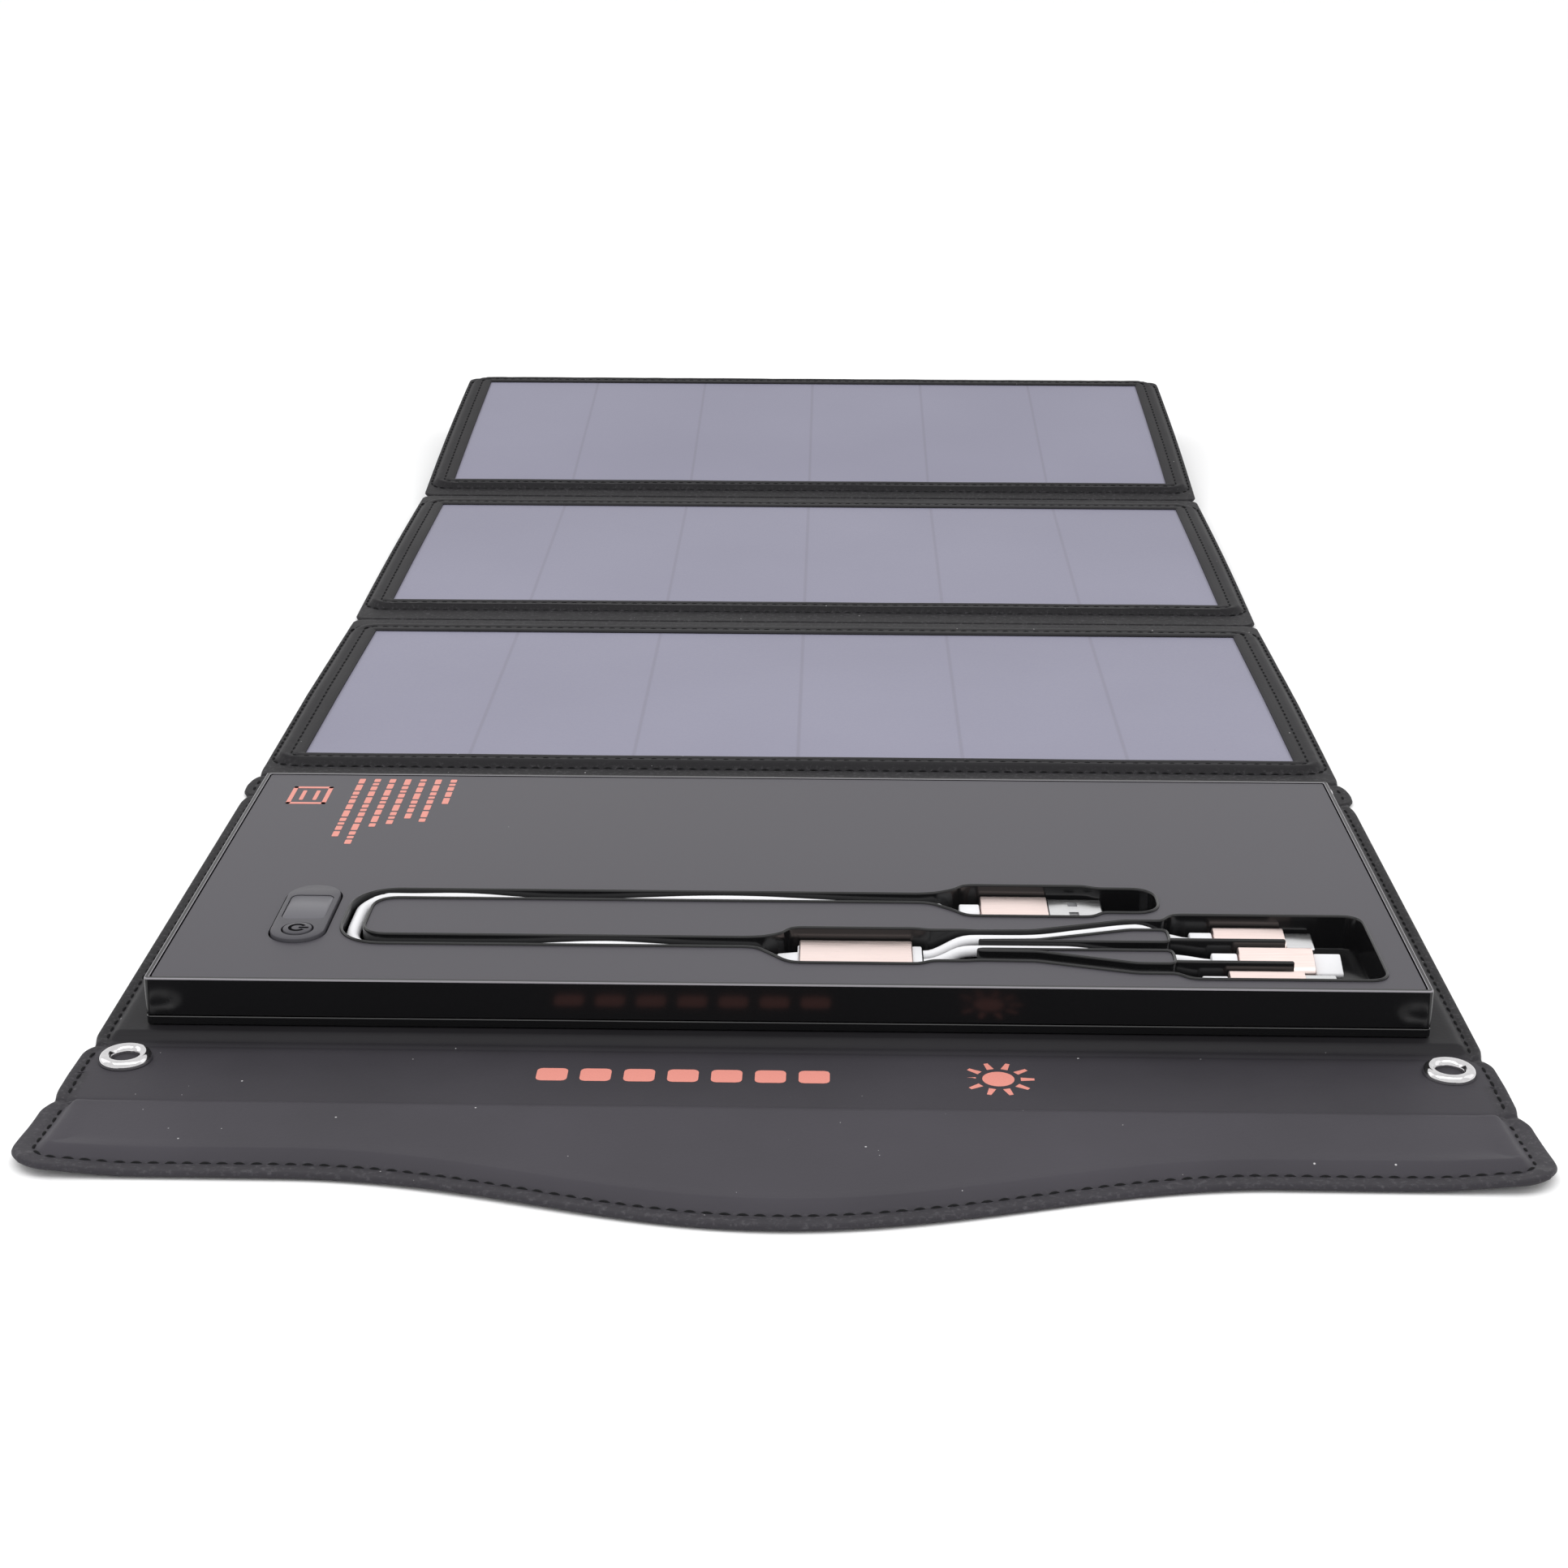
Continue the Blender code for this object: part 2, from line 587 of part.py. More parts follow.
def side_loop(bm, outline, y, x):
    return [bm.verts.new((x * MM, (y + u) * MM, (PORT_Z + v) * MM)) for u, v in outline]


def side_cutter(outline, y, x0, x1, parent):
    """A hidden block along x."""
    bm = bmesh.new()
    low = side_loop(bm, outline, y, x0)
    high = side_loop(bm, outline, y, x1)
    bridge(bm, low, high)
    bm.faces.new(low)
    bm.faces.new(high)
    obj = finish_mesh("cutter", bm, parent, foam())
    obj.hide_render = True
    obj.display_type = 'WIRE'
    return obj


def port(name, y, wide, tall, r, wall, tongue_w, tongue_t, root):
    """A socket: a metal shell open to the left, closed at the back, with a contact tongue."""
    x0 = -BANK_W / 2 + 0.2
    x1 = x0 + PORT_DEPTH
    outline = port_outline(wide, tall, r)
    mouth = port_outline(wide - 2 * wall, tall - 2 * wall, max(r - wall, 0.2))
    bm = bmesh.new()
    outer = [side_loop(bm, outline, y, x) for x in (x0, x1)]
    inner = [side_loop(bm, mouth, y, x) for x in (x0, x1 - 1.5)]
    bridge(bm, outer[0], outer[1])
    bridge(bm, outer[0], inner[0])
    bridge(bm, inner[0], inner[1])
    bm.faces.new(outer[1])
    bm.faces.new(inner[1])
    shell = finish_mesh(name, bm, root, steel())
    tongue = port_outline(tongue_w, tongue_t, 0.3)
    boolean(shell, side_cutter(tongue, y, x0 + 1.2, x1 - 1.0, root), 'UNION')


def bank_inside(root):
    """Circuit board, two flat cells, and the sockets on the left side."""
    for label, x0, x1 in CELLS:
        cell = plan_rect(x0, x1, *CELL_Y, 2.0, 0.0, 3)
        stack("battery_cell_" + label, [(cell, CELL_Z[0]), (cell, CELL_Z[1])], root, cell_foil())
    card = plan_rect(*CIRCUIT, 1.0, 0.0, 3)
    stack("bank_circuit_board", [(card, CIRCUIT_Z[0]), (card, CIRCUIT_Z[1])], root, circuit())
    for sizes in PORTS:
        port(*sizes, root)


def display(root, button_frame):
    """Pill-shaped cover with a screen and the power button beside it."""
    window = plan_rect(*SCREEN, SCREEN_R, 0.0, 4)
    hole = circle(*plan(*BUTTON), BUTTON_HOLE_R)
    prism("display_cover", display_outline(0.0), PLATE_Z0, PILL_TOP, root, black_plastic(),
          (window, hole))
    screen = plan_rect(*SCREEN, SCREEN_R, -0.3, 4)
    stack("display_screen", [(screen, PLATE_Z0), (screen, PILL_TOP - 0.1)], root,
          display_glass())
    side = circle(0.0, 0.0, BUTTON_R)
    rim = circle(0.0, 0.0, BUTTON_R - 0.3)
    top = PILL_TOP + 0.3 - PLATE_Z0
    stack("power_button", [(side, 0.0), (side, top - 0.3), (rim, top)], button_frame,
          black_plastic())


# =============================================================================================
# charging lead
# =============================================================================================
def cable(name, points, radius, parent, mat):
    """A round cable through a smooth curve's points."""
    curve = bpy.data.curves.new(name, 'CURVE')
    curve.dimensions = '3D'
    spline = curve.splines.new('POLY')
    spline.points.add(len(points) - 1)
    for point, place in zip(spline.points, points):
        point.co = (*(c * MM for c in place), 1.0)
    curve.bevel_depth = radius * MM
    curve.bevel_resolution = 2
    curve.use_fill_caps = True
    curve.materials.append(mat)
    obj = bpy.data.objects.new(name, curve)
    bpy.context.collection.objects.link(obj)
    obj.parent = parent


def smooth_route(points, spacing):
    """Even points on a Catmull-Rom curve through the route's points."""
    route = [Vector(p) for p in points]
    route = [2 * route[0] - route[1]] + route + [2 * route[-1] - route[-2]]
    fine = []
    for a, b, c, d in zip(route, route[1:], route[2:], route[3:]):
        for i in range(24):
            t = i / 24
            fine.append(0.5 * ((2 * b) + (c - a) * t + (2 * a - 5 * b + 4 * c - d) * t * t
                               + (3 * b - a - 3 * c + d) * t ** 3))
    fine.append(route[-2])
    total = sum((q - p).length for p, q in zip(fine, fine[1:]))
    count = max(2, round(total / spacing))
    picked, travelled, step = [fine[0]], 0.0, total / count
    for p, q in zip(fine, fine[1:]):
        length = (q - p).length
        while travelled + length >= step * len(picked) - 1e-9 and len(picked) < count:
            share = (step * len(picked) - travelled) / length
            picked.append(p.lerp(q, share))
        travelled += length
    picked.append(fine[-1])
    return picked


def main_cable_route():
    """From the USB-A plug round the U to the junction."""
    slope_z = PLUG_Z + 1.3
    junction_y = JUNCTION[2]
    route = [(174.2, USB_A_Y, PLUG_Z), (173.1, USB_A_Y, PLUG_Z + CONTACT_Z)]
    route += [(170.5, 47.0, slope_z)]
    route += [(x, y, CABLE_Z) for x, y in turn_path(165.5, 124.0)]
    route += [(129.0, 21.7, slope_z), (132.0, junction_y + 0.1, PLUG_Z + CONTACT_Z)]
    route += [(133.2, junction_y, PLUG_Z)]
    return [(*plan(x, y), z) for x, y, z in route]


def branch_route(path, lane_y, end_x, start_y):
    """From the junction along its channel to the plug's collar."""
    x0 = JUNCTION[1] + 2.5
    groove_z = CABLE_Z - 0.3
    route = [(x0, start_y, PLUG_Z), (x0 + 1.2, start_y, PLUG_Z + CONTACT_Z)]
    route += [(x0 + 5.5, (start_y + path[1][1]) / 2, groove_z - 0.4)]
    route += [(x, y, groove_z) for x, y in path[1:-1]]
    route += [(218.5, (path[-1][1] + lane_y) / 2, groove_z - 0.1)]
    route += [(end_x - 1.2, lane_y, PLUG_Z + CONTACT_Z), (end_x, lane_y, PLUG_Z)]
    return [(*plan(x, y), z) for x, y, z in route]


def plug_row(bm, outline, x):
    return [bm.verts.new((x * MM, u * MM, v * MM)) for u, v in outline]


def plug_outline(wide, tall, r):
    """A rounded section of a plug, across its axis."""
    return rounded_rect(-wide / 2, wide / 2, -tall / 2, tall / 2, r, 3)


def plug_block(name, frame, x0, x1, section, mat):
    """A solid plug piece along x; section is (width, height, radius)."""
    bm = bmesh.new()
    ends = [plug_row(bm, plug_outline(*section), x) for x in (x0, x1)]
    bridge(bm, *ends)
    bm.faces.new(ends[0])
    bm.faces.new(ends[1])
    return finish_mesh(name, bm, frame, mat)


def plug_sleeve(name, frame, x0, x1, section, bore, mat):
    """A tube along x, open at both ends."""
    bm = bmesh.new()
    outer = [plug_row(bm, plug_outline(*section), x) for x in (x0, x1)]
    inner = [plug_row(bm, plug_outline(*bore), x) for x in (x0, x1)]
    bridge(bm, *outer)
    bridge(bm, *inner)
    bridge(bm, outer[0], inner[0])
    bridge(bm, outer[1], inner[1])
    return finish_mesh(name, bm, frame, mat)


def plug_shell(name, frame, x_back, x_tip, section, wall, mat):
    """A metal plug end, open at its tip and closed at its back."""
    wide, tall, r = section
    bore = plug_outline(wide - 2 * wall, tall - 2 * wall, max(r - wall, 0.15))
    bm = bmesh.new()
    back, tip = [plug_row(bm, plug_outline(*section), x) for x in (x_back, x_tip)]
    mouth, bottom = [plug_row(bm, bore, x) for x in (x_tip, x_back + PLUG_BACK)]
    bridge(bm, back, tip)
    bridge(bm, tip, mouth)
    bridge(bm, mouth, bottom)
    bm.faces.new(back)
    bm.faces.new(bottom)
    return finish_mesh(name, bm, frame, mat)


def plug_frame(name, lead, y, roll_deg=0.0):
    """An empty on a plug's long axis, rolled about it, with x as on the plan."""
    return frame_empty(name, lead, (*plan(0.0, y), PLUG_Z), roll_deg)


def usb_a_plug(lead):
    frame = plug_frame("usb_a_axis", lead, USB_A_Y)
    plug_block("usb_a_collar", frame, 174.6, 179.2, (7.2, 4.6, 1.6), white_plastic())
    plug_block("usb_a_sleeve", frame, 179.5, 194.7, (13.6, 5.6, 1.2), rose_metal())
    plug_shell("usb_a_shell", frame, 195.0, 207.0, (12.0, 4.5, 0.5), 0.35, steel())


def device_plug(lead, label, lane_y, x_collar, x_sleeve, x_end, x_tip, tip_size, roll_deg):
    """A device plug: white collar, rose sleeve, and a metal shell or a solid white tab."""
    frame = plug_frame(label + "_axis", lead, lane_y, roll_deg)
    plug_block(label + "_collar", frame, x_collar, x_sleeve - 0.3, (5.4, 3.6, 1.3),
               white_plastic())
    plug_block(label + "_sleeve", frame, x_sleeve, x_end - 0.3, (8.3, 4.6, 1.4), rose_metal())
    section, wall = tip_size[:3], tip_size[3]
    if wall:
        plug_shell(label + "_shell", frame, x_end, x_tip, section, wall, steel())
    else:
        plug_block(label + "_tab", frame, x_end, x_tip, section, white_plastic())


def junction(lead):
    """The block where the lead splits in three: a white core in a rose sleeve."""
    x0, x1, y = JUNCTION
    frame = plug_frame("junction_axis", lead, y)
    plug_sleeve("junction_sleeve", frame, x0, x1, (15.6, 5.4, 1.6), (14.2, 4.0, 1.0),
                rose_metal())
    core = plug_block("junction_core", frame, x0 - 0.2, x1 + 2.1, (13.6, 3.4, 1.0),
                      white_plastic())
    neck = plug_block("cutter", frame, x0 - 4.8, x0 + 1.0, (5.6, 3.2, 1.2), white_plastic())
    neck.hide_render = True
    neck.display_type = 'WIRE'
    boolean(core, neck, 'UNION')


def charging_lead(lead):
    usb_a_plug(lead)
    junction(lead)
    cable("main_cable", smooth_route(main_cable_route(), 4.2), CABLE_R, lead, white_plastic())
    for i, path in enumerate(BRANCHES):
        route = branch_route(path, LANES[i], BRANCH_END_X[i], BRANCH_START_Y[i])
        cable("branch_cable_%d" % (i + 1), smooth_route(route, 3.4), BRANCH_R, lead,
              white_plastic())
    for sizes in DEVICE_PLUGS:
        device_plug(lead, *sizes)


# =============================================================================================
# assembly
# =============================================================================================
def far_edge_y():
    """Furthest local y of the opened wallet, at the last leaf's underside."""
    tilt_2 = math.radians(LEAF_2_TILT)
    tilt_1 = math.radians(LEAF_2_TILT + LEAF_1_TILT)
    rise = FOLD_CLEAR + LEAF_THICK + FOLD_CLEAR
    y = REAR_FOLD_Y + GUSSET_LEN + LEAF_3_LEN
    y += LEAF_2_LEN * math.cos(tilt_2) - rise * math.sin(tilt_2)
    under = -FOLD_CLEAR - LEAF_THICK
    return y + LEAF_1_LEN * math.cos(tilt_1) - under * math.sin(tilt_1)


def near_edge_y():
    return FRONT_FOLD_Y - SPINE_LEN - FLAP_SIDE_LEN - FLAP_TIP_DROP


def build():
    clear_scene()
    centre_y = (far_edge_y() + near_edge_y()) / 2
    root = frame_empty("wallet_origin", None, (0.0, -centre_y, 0.0))

    bank_leaf(root)
    bank_housing(root)
    cable_tray(root)
    bank_inside(root)
    display(root, frame_empty("button_axis", root, (*plan(*BUTTON), PLATE_Z0)))
    charging_lead(frame_empty("lead_lift", root, (0.0, 0.0, 0.0)))

    spine = frame_empty("spine_fold", root, (0.0, FRONT_FOLD_Y, HEM_TOP))
    strip("spine", spine, -RUN, -SPINE_LEN + RUN, -GROMMET_FROM_FOLD)
    flap(frame_empty("flap_fold", spine, (0.0, -SPINE_LEN, 0.0)))

    gusset = frame_empty("gusset_fold", root, (0.0, REAR_FOLD_Y, HEM_TOP))
    strip("gusset", gusset, RUN, GUSSET_LEN - RUN, GROMMET_FROM_FOLD)
    leaf_3 = frame_empty("leaf_3_fold", gusset, (0.0, GUSSET_LEN, 0.0))
    solar_leaf(3, leaf_3, -HEM_TOP, LEAF_3_WINDOW, LEAF_3_LEN, True)
    below = -HEM_TOP - FOLD_CLEAR
    leaf_2 = frame_empty("leaf_2_fold", leaf_3, (0.0, LEAF_3_LEN, below), LEAF_2_TILT)
    solar_leaf(2, leaf_2, FOLD_CLEAR, LEAF_2_WINDOW, LEAF_2_LEN, True)
    above = FOLD_CLEAR + LEAF_THICK + FOLD_CLEAR
    leaf_1 = frame_empty("leaf_1_fold", leaf_2, (0.0, LEAF_2_LEN, above), LEAF_1_TILT)
    solar_leaf(1, leaf_1, -FOLD_CLEAR - LEAF_THICK, LEAF_1_WINDOW, LEAF_1_LEN, False)


build()
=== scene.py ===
"""Looks for the folding solar charger: padded leather wallet, solar panels, power bank and lead.

Lengths are in millimetres and go through MM. "Local" y is measured from the power bank's front
edge, +Y away from the closing flap, as in the CAD source; leaves 1 and 2 have their own frames
on their fold axes, because they lie slightly tilted.
"""
import json
import math

import bmesh
import bpy
import numpy as np
from mathutils import Matrix, Vector, noise


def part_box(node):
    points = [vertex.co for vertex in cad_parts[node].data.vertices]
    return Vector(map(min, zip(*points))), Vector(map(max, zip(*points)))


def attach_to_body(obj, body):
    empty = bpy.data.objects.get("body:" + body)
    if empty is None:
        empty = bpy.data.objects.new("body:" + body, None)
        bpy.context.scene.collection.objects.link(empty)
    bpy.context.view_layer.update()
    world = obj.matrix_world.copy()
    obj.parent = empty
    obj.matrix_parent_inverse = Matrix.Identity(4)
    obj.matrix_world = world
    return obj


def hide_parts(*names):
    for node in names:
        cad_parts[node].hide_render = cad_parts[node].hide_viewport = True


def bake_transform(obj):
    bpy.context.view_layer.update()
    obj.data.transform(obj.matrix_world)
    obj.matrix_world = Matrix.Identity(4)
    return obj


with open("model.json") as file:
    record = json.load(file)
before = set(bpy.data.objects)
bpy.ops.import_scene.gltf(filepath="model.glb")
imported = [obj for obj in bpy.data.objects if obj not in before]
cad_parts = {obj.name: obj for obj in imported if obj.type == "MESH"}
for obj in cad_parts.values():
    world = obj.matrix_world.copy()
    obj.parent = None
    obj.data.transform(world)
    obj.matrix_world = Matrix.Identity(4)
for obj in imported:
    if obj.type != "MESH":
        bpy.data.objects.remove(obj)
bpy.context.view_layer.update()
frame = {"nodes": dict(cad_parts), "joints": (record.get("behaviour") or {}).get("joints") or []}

MM = 0.001

# ---- wallet, local y ----
FRONT_FOLD, FLAP_FOLD = -6.5, -31.7
REAR_FOLD, LEAF_3_FOLD = 144.5, 159.9
SPINE_SEAM = -19.1         # where the bank leaf's leather meets the flap's
GUSSET_SEAM = 152.2
BANK_SEAM = 64.0           # under the power bank
BANK_LEAF_HALF, STRIP_HALF, LEAF_HALF, FLAP_HALF = 146.5, 147.6, 146.0, 149.0
NOTCH_HALF = 145.4         # half width at a fold
FOLD_REACH = 2.6           # leather that bends, to each side of a fold
WEB_REACH = 1.6            # the same in the webs between the solar leaves
RUN = 0.2                  # fold axis to leather
HEM_Z = 1.3                # sewn edge, two skins
PAD_Z = 3.0                # padded face of a leaf
EDGE_ROUND = 0.6
CORNER_R = 4.0
BANK_FACE_Z = 2.85
LEAF_2_TILT, LEAF_1_TILT = 1.5, 7.0
LEAF_2_UNDER, LEAF_1_UNDER = 0.15, -3.15
WINDOW_HALF, WINDOW_DEPTH = 136.0, 117.0
WINDOW_FLOOR_Z = 1.45      # leather under the laminate
CELL_PITCH = 45.33
# number: (window start, length to the far edge, stretch of the border profile far side)
LEAVES = {3: (14.7, 148.6, 1.0), 2: (17.1, 151.0, 1.0), 1: (14.1, 139.6, 1.18)}
NEAR_STRETCH = 1.3
INNER_STITCH, OUTER_STITCH = 3.7, 8.7      # out from the window's edge
FLAP_SIDE_LEN, FLAP_TIP_DROP, FLAP_TIP_HALF = 30.0, 17.5, 95.0
FLAP_CORNER_R = 9.0
FLAP_STITCH, SPINE_STITCH, BANK_STITCH = 4.2, 2.7, 2.5      # in from the edge
FLAP_PAD_Z = 2.9
STITCH_PITCH, STITCH_LENGTH, STITCH_R = 3.3, 2.7, 0.3

# ---- power bank and lead, plan dimensions ----
BANK_W, BANK_D = 272.0, 128.0
PLAN_STRETCH = 128.0 / 126.0
BASE_Z0, BASE_Z1 = 3.1, 5.0
FRAME_Z0, BANK_TOP = 5.25, 13.8
FRAME_WALL = 1.1
PORT_Z = 9.2
PORTS = ((73.0, 13.7, 6.3, 0.7), (94.5, 9.7, 3.9, 1.8))     # y, width, height, corner
PLATE_Z0, PLATE_Z1 = 12.6, 13.6
LIP_W, LIP_TOP = 0.8, 14.15
TRAY_Z0 = 5.4
GROOVE_FLOOR, POCKET_FLOOR, FAN_FLOOR = 8.9, 5.95, 7.6
CABLE_R, BRANCH_R = 1.5, 1.25
GROOVE_HALF = 2.1
CABLE_Z, PLUG_Z = 10.9, 9.3
LANES = (33.65, 22.15, 10.65)
UPPER_Y, LOWER_Y, TURN_X, TURN_R = 47.3, 22.0, 39.35, 7.3
JUNCTION = (138.5, 163.3, 20.8)
USB_A_Y = 46.9
BRANCHES = (
    ((163.0, 26.0), (176.0, 26.6), (190.0, 27.1), (200.0, 29.9), (211.0, 33.1), (222.0, 33.2)),
    ((163.0, 21.2), (176.0, 21.7), (200.0, 21.8), (222.0, 21.9)),
    ((163.0, 16.2), (176.0, 16.1), (190.0, 15.9), (200.0, 13.2), (211.0, 10.3), (222.0, 10.3)),
)
BRANCH_START_Y = (25.2, 20.8, 16.4)
BRANCH_END_X = (224.8, 228.2, 224.8)
FINS = (28.0, 16.3)
PILL = (21.8, 33.8, 19.7, 50.5)
PILL_R, PILL_TOP = 5.9, 14.4
SCREEN = (22.9, 32.7, 30.6, 44.3)
BUTTON = (27.8, 25.3)
BUTTON_R, BUTTON_Z0, BUTTON_TOP = 3.2, 12.4, 14.7
POWER_MARK_R, POWER_MARK_HALF = 1.65, 0.36
FIELD_X0, FIELD_X1, FIELD_Y0, FIELD_Y1, FIELD_STEP = 32.0, 268.0, 2.0, 60.0, 0.25

# ---- eyelets ----
GROMMET_X, GROMMET_FROM_FOLD = 137.2, 6.8
GROMMET_R, GROMMET_HOLE_R = 5.5, 3.2

# ---- studio, metres ----
LIGHTS = (     # name, place, aim, size, watts
    ("front_softbox", (0.0, -0.45, 0.62), (0.0, -0.36, 0.0), (1.1, 0.35), 2.0),
    ("left_softbox", (-1.5, 0.3, 0.9), (0.0, 0.0, 0.0), (1.0, 1.4), 2.5),
    ("right_softbox", (1.5, 0.1, 0.9), (0.0, 0.0, 0.0), (1.0, 1.4), 2.0),
)
WORLD_STRENGTH = 1.05
CAMERA_PLACE, CAMERA_TURN_DEG = (0.0089, -0.75705, 0.2417), (69.82, -0.13, 1.13)
CAMERA_LENS = 59.53
FLOOR_REACH = 8.0


# ---- small helpers ----
def ease(x, start, end):
    """0 up to start, 1 from end on, and a smooth step between; start may be above end."""
    t = np.clip((np.asarray(x, float) - start) / (end - start), 0.0, 1.0)
    return t * t * (3.0 - 2.0 * t)


def ridge(x, centre, width):
    return np.exp(-((np.asarray(x, float) - centre) / width) ** 2)


def ripple(x, y, scale_x, scale_y, seed):
    """Soft unevenness from -1 to 1, the same every run."""
    flat = [noise.noise(Vector((a / scale_x, b / scale_y, seed)))
            for a, b in zip(np.ravel(x), np.ravel(y))]
    return np.array(flat).reshape(np.shape(x))


def placement(joint=None, tilt_deg=0.0):
    """Local millimetres to row-frame metres: from the bank's front edge, or from a fold axis."""
    if joint is None:
        origin = Vector((0.0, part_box("bank_side_frame")[0].y, 0.0))
    else:
        origin = Vector(next(j["pos_m"] for j in frame["joints"] if j["name"] == joint))
    turn = Matrix.Rotation(math.radians(tilt_deg), 4, "X")
    return Matrix.Translation(origin) @ turn @ Matrix.Scale(MM, 4)


def placed(points, place):
    rot = np.array(place.to_3x3())
    return np.asarray(points, float) @ rot.T + np.array(place.translation)


ROOT = placement()
LEAF_2_PLACE = placement("leaf_2_fold", LEAF_2_TILT)
LEAF_1_PLACE = placement("leaf_1_fold", LEAF_1_TILT)


def unit(vectors):
    return vectors / np.linalg.norm(vectors, axis=1)[:, None]


def across_and_up(d):
    """Unit vectors sideways and upwards from a direction."""
    across = np.cross((0.0, 0.0, 1.0), d)
    across /= np.linalg.norm(across)
    return across, np.cross(d, across)


def measured(points):
    """A polyline as an array, and the distance travelled at each of its points."""
    pts = np.array(points, float)
    steps = np.linalg.norm(np.diff(pts, axis=0), axis=1)
    return pts, np.concatenate([[0.0], np.cumsum(steps)])


def points_at(distances, pts, travelled):
    return np.stack([np.interp(distances, travelled, column) for column in pts.T], -1)


def arc(cx, cy, r, start, end, steps):
    turns = [math.radians(start + (end - start) * i / steps) for i in range(steps + 1)]
    return [(cx + r * math.cos(a), cy + r * math.sin(a)) for a in turns]


def circle(cx, cy, r, steps=64):
    return arc(cx, cy, r, 0, 360 - 360 / steps, steps - 1)


def rounded_rect(x0, x1, y0, y1, r, steps=6):
    """Counter-clockwise outline of a rectangle with round corners."""
    return (arc(x1 - r, y0 + r, r, -90, 0, steps) + arc(x1 - r, y1 - r, r, 0, 90, steps)
            + arc(x0 + r, y1 - r, r, 90, 180, steps) + arc(x0 + r, y0 + r, r, 180, 270, steps))


def grown(rect, amount):
    x0, x1, y0, y1 = rect
    return x0 - amount, x1 + amount, y0 - amount, y1 + amount


def guarded(outline, near=0.5):
    """Extra points close to the ends of long straight runs, so that shading stays flat."""
    result = []
    for (xa, ya), (xb, yb) in zip(outline, outline[1:] + outline[:1]):
        result.append((xa, ya))
        length = math.hypot(xb - xa, yb - ya)
        if length > 4 * near:
            result += [(xa + (xb - xa) * t, ya + (yb - ya) * t)
                       for t in (near / length, 1 - near / length)]
    return result


def at_z(outline, z):
    return [(x, y, z) for x, y in outline]


def piece(name, bm, mat, smooth_deg):
    """A bmesh as an object in the scene, shaded smooth up to an angle."""
    bmesh.ops.recalc_face_normals(bm, faces=bm.faces)
    mesh = bpy.data.meshes.new(name)
    bm.to_mesh(mesh)
    bm.free()
    mesh.shade_smooth()
    mesh.set_sharp_from_angle(angle=math.radians(smooth_deg))
    mesh.materials.append(mat)
    obj = bpy.data.objects.new(name, mesh)
    bpy.context.scene.collection.objects.link(obj)
    return obj


def mesh_object(name, points, faces, mat, smooth_deg=40.0):
    """A mesh piece from points in metres and faces."""
    raw = bpy.data.meshes.new("raw")
    raw.from_pydata([tuple(p) for p in points], [], faces)
    bm = bmesh.new()
    bm.from_mesh(raw)
    bpy.data.meshes.remove(raw)
    return piece(name, bm, mat, smooth_deg)


def loft(name, rings, place, mat, ring=False, smooth_deg=40.0):
    """A closed solid through rings of equal point count, capped at its ends, or a closed tube
    whose last ring joins the first. Each ring is a list of (x, y, z)."""
    count, last = len(rings[0]), len(rings) - 1
    faces = []
    for a, b in [(i, i + 1) for i in range(last)] + ([(last, 0)] if ring else []):
        for i in range(count):
            j = (i + 1) % count
            faces.append((a * count + i, a * count + j, b * count + j, b * count + i))
    if not ring:
        faces += [tuple(range(count)), tuple(range(last * count, (last + 1) * count))]
    return mesh_object(name, placed([p for row in rings for p in row], place), faces, mat,
                       smooth_deg)


def vertex_row(bm, points):
    return [bm.verts.new(p) for p in placed(points, ROOT)]


def skin(bm, rows):
    """Faces between closed rows of vertices, each row to the next."""
    for low, high in zip(rows, rows[1:]):
        for i in range(len(low)):
            j = (i + 1) % len(low)
            bm.faces.new((low[i], low[j], high[j], high[i]))


def filled(bm, loops):
    """Fill between closed vertex loops, holes left open."""
    edges = [bm.edges.get(pair) or bm.edges.new(pair)
             for loop in loops for pair in zip(loop, loop[1:] + loop[:1])]
    bmesh.ops.triangle_fill(bm, use_beauty=True, use_dissolve=False, edges=edges)


def join(name, parts):
    """Several mesh objects as one piece."""
    bm = bmesh.new()
    for part in parts:
        bm.from_mesh(part.data)
    bm.to_mesh(parts[0].data)
    bm.free()
    for part in parts[1:]:
        bpy.data.objects.remove(part, do_unlink=True)
    parts[0].name = name
    return parts[0]


def cut(obj, cutters):
    """Subtract solids from obj, and bake the result into its mesh."""
    for cutter in cutters:
        mod = obj.modifiers.new("cut", "BOOLEAN")
        mod.operation, mod.solver, mod.object = "DIFFERENCE", "EXACT", cutter
    evaluated = obj.evaluated_get(bpy.context.evaluated_depsgraph_get())
    mesh = bpy.data.meshes.new_from_object(evaluated)
    obj.modifiers.clear()
    obj.data = mesh
    mesh.shade_smooth()
    mesh.set_sharp_from_angle(angle=math.radians(20.0))
    for cutter in cutters:
        bpy.data.objects.remove(cutter, do_unlink=True)


def attach(obj, body, slot, *replaced):
    """Hide the CAD nodes that a piece replaces and put it on the body that it rides; slot is not
    used.
    """
    if replaced:
        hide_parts(*replaced)
    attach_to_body(obj, body)


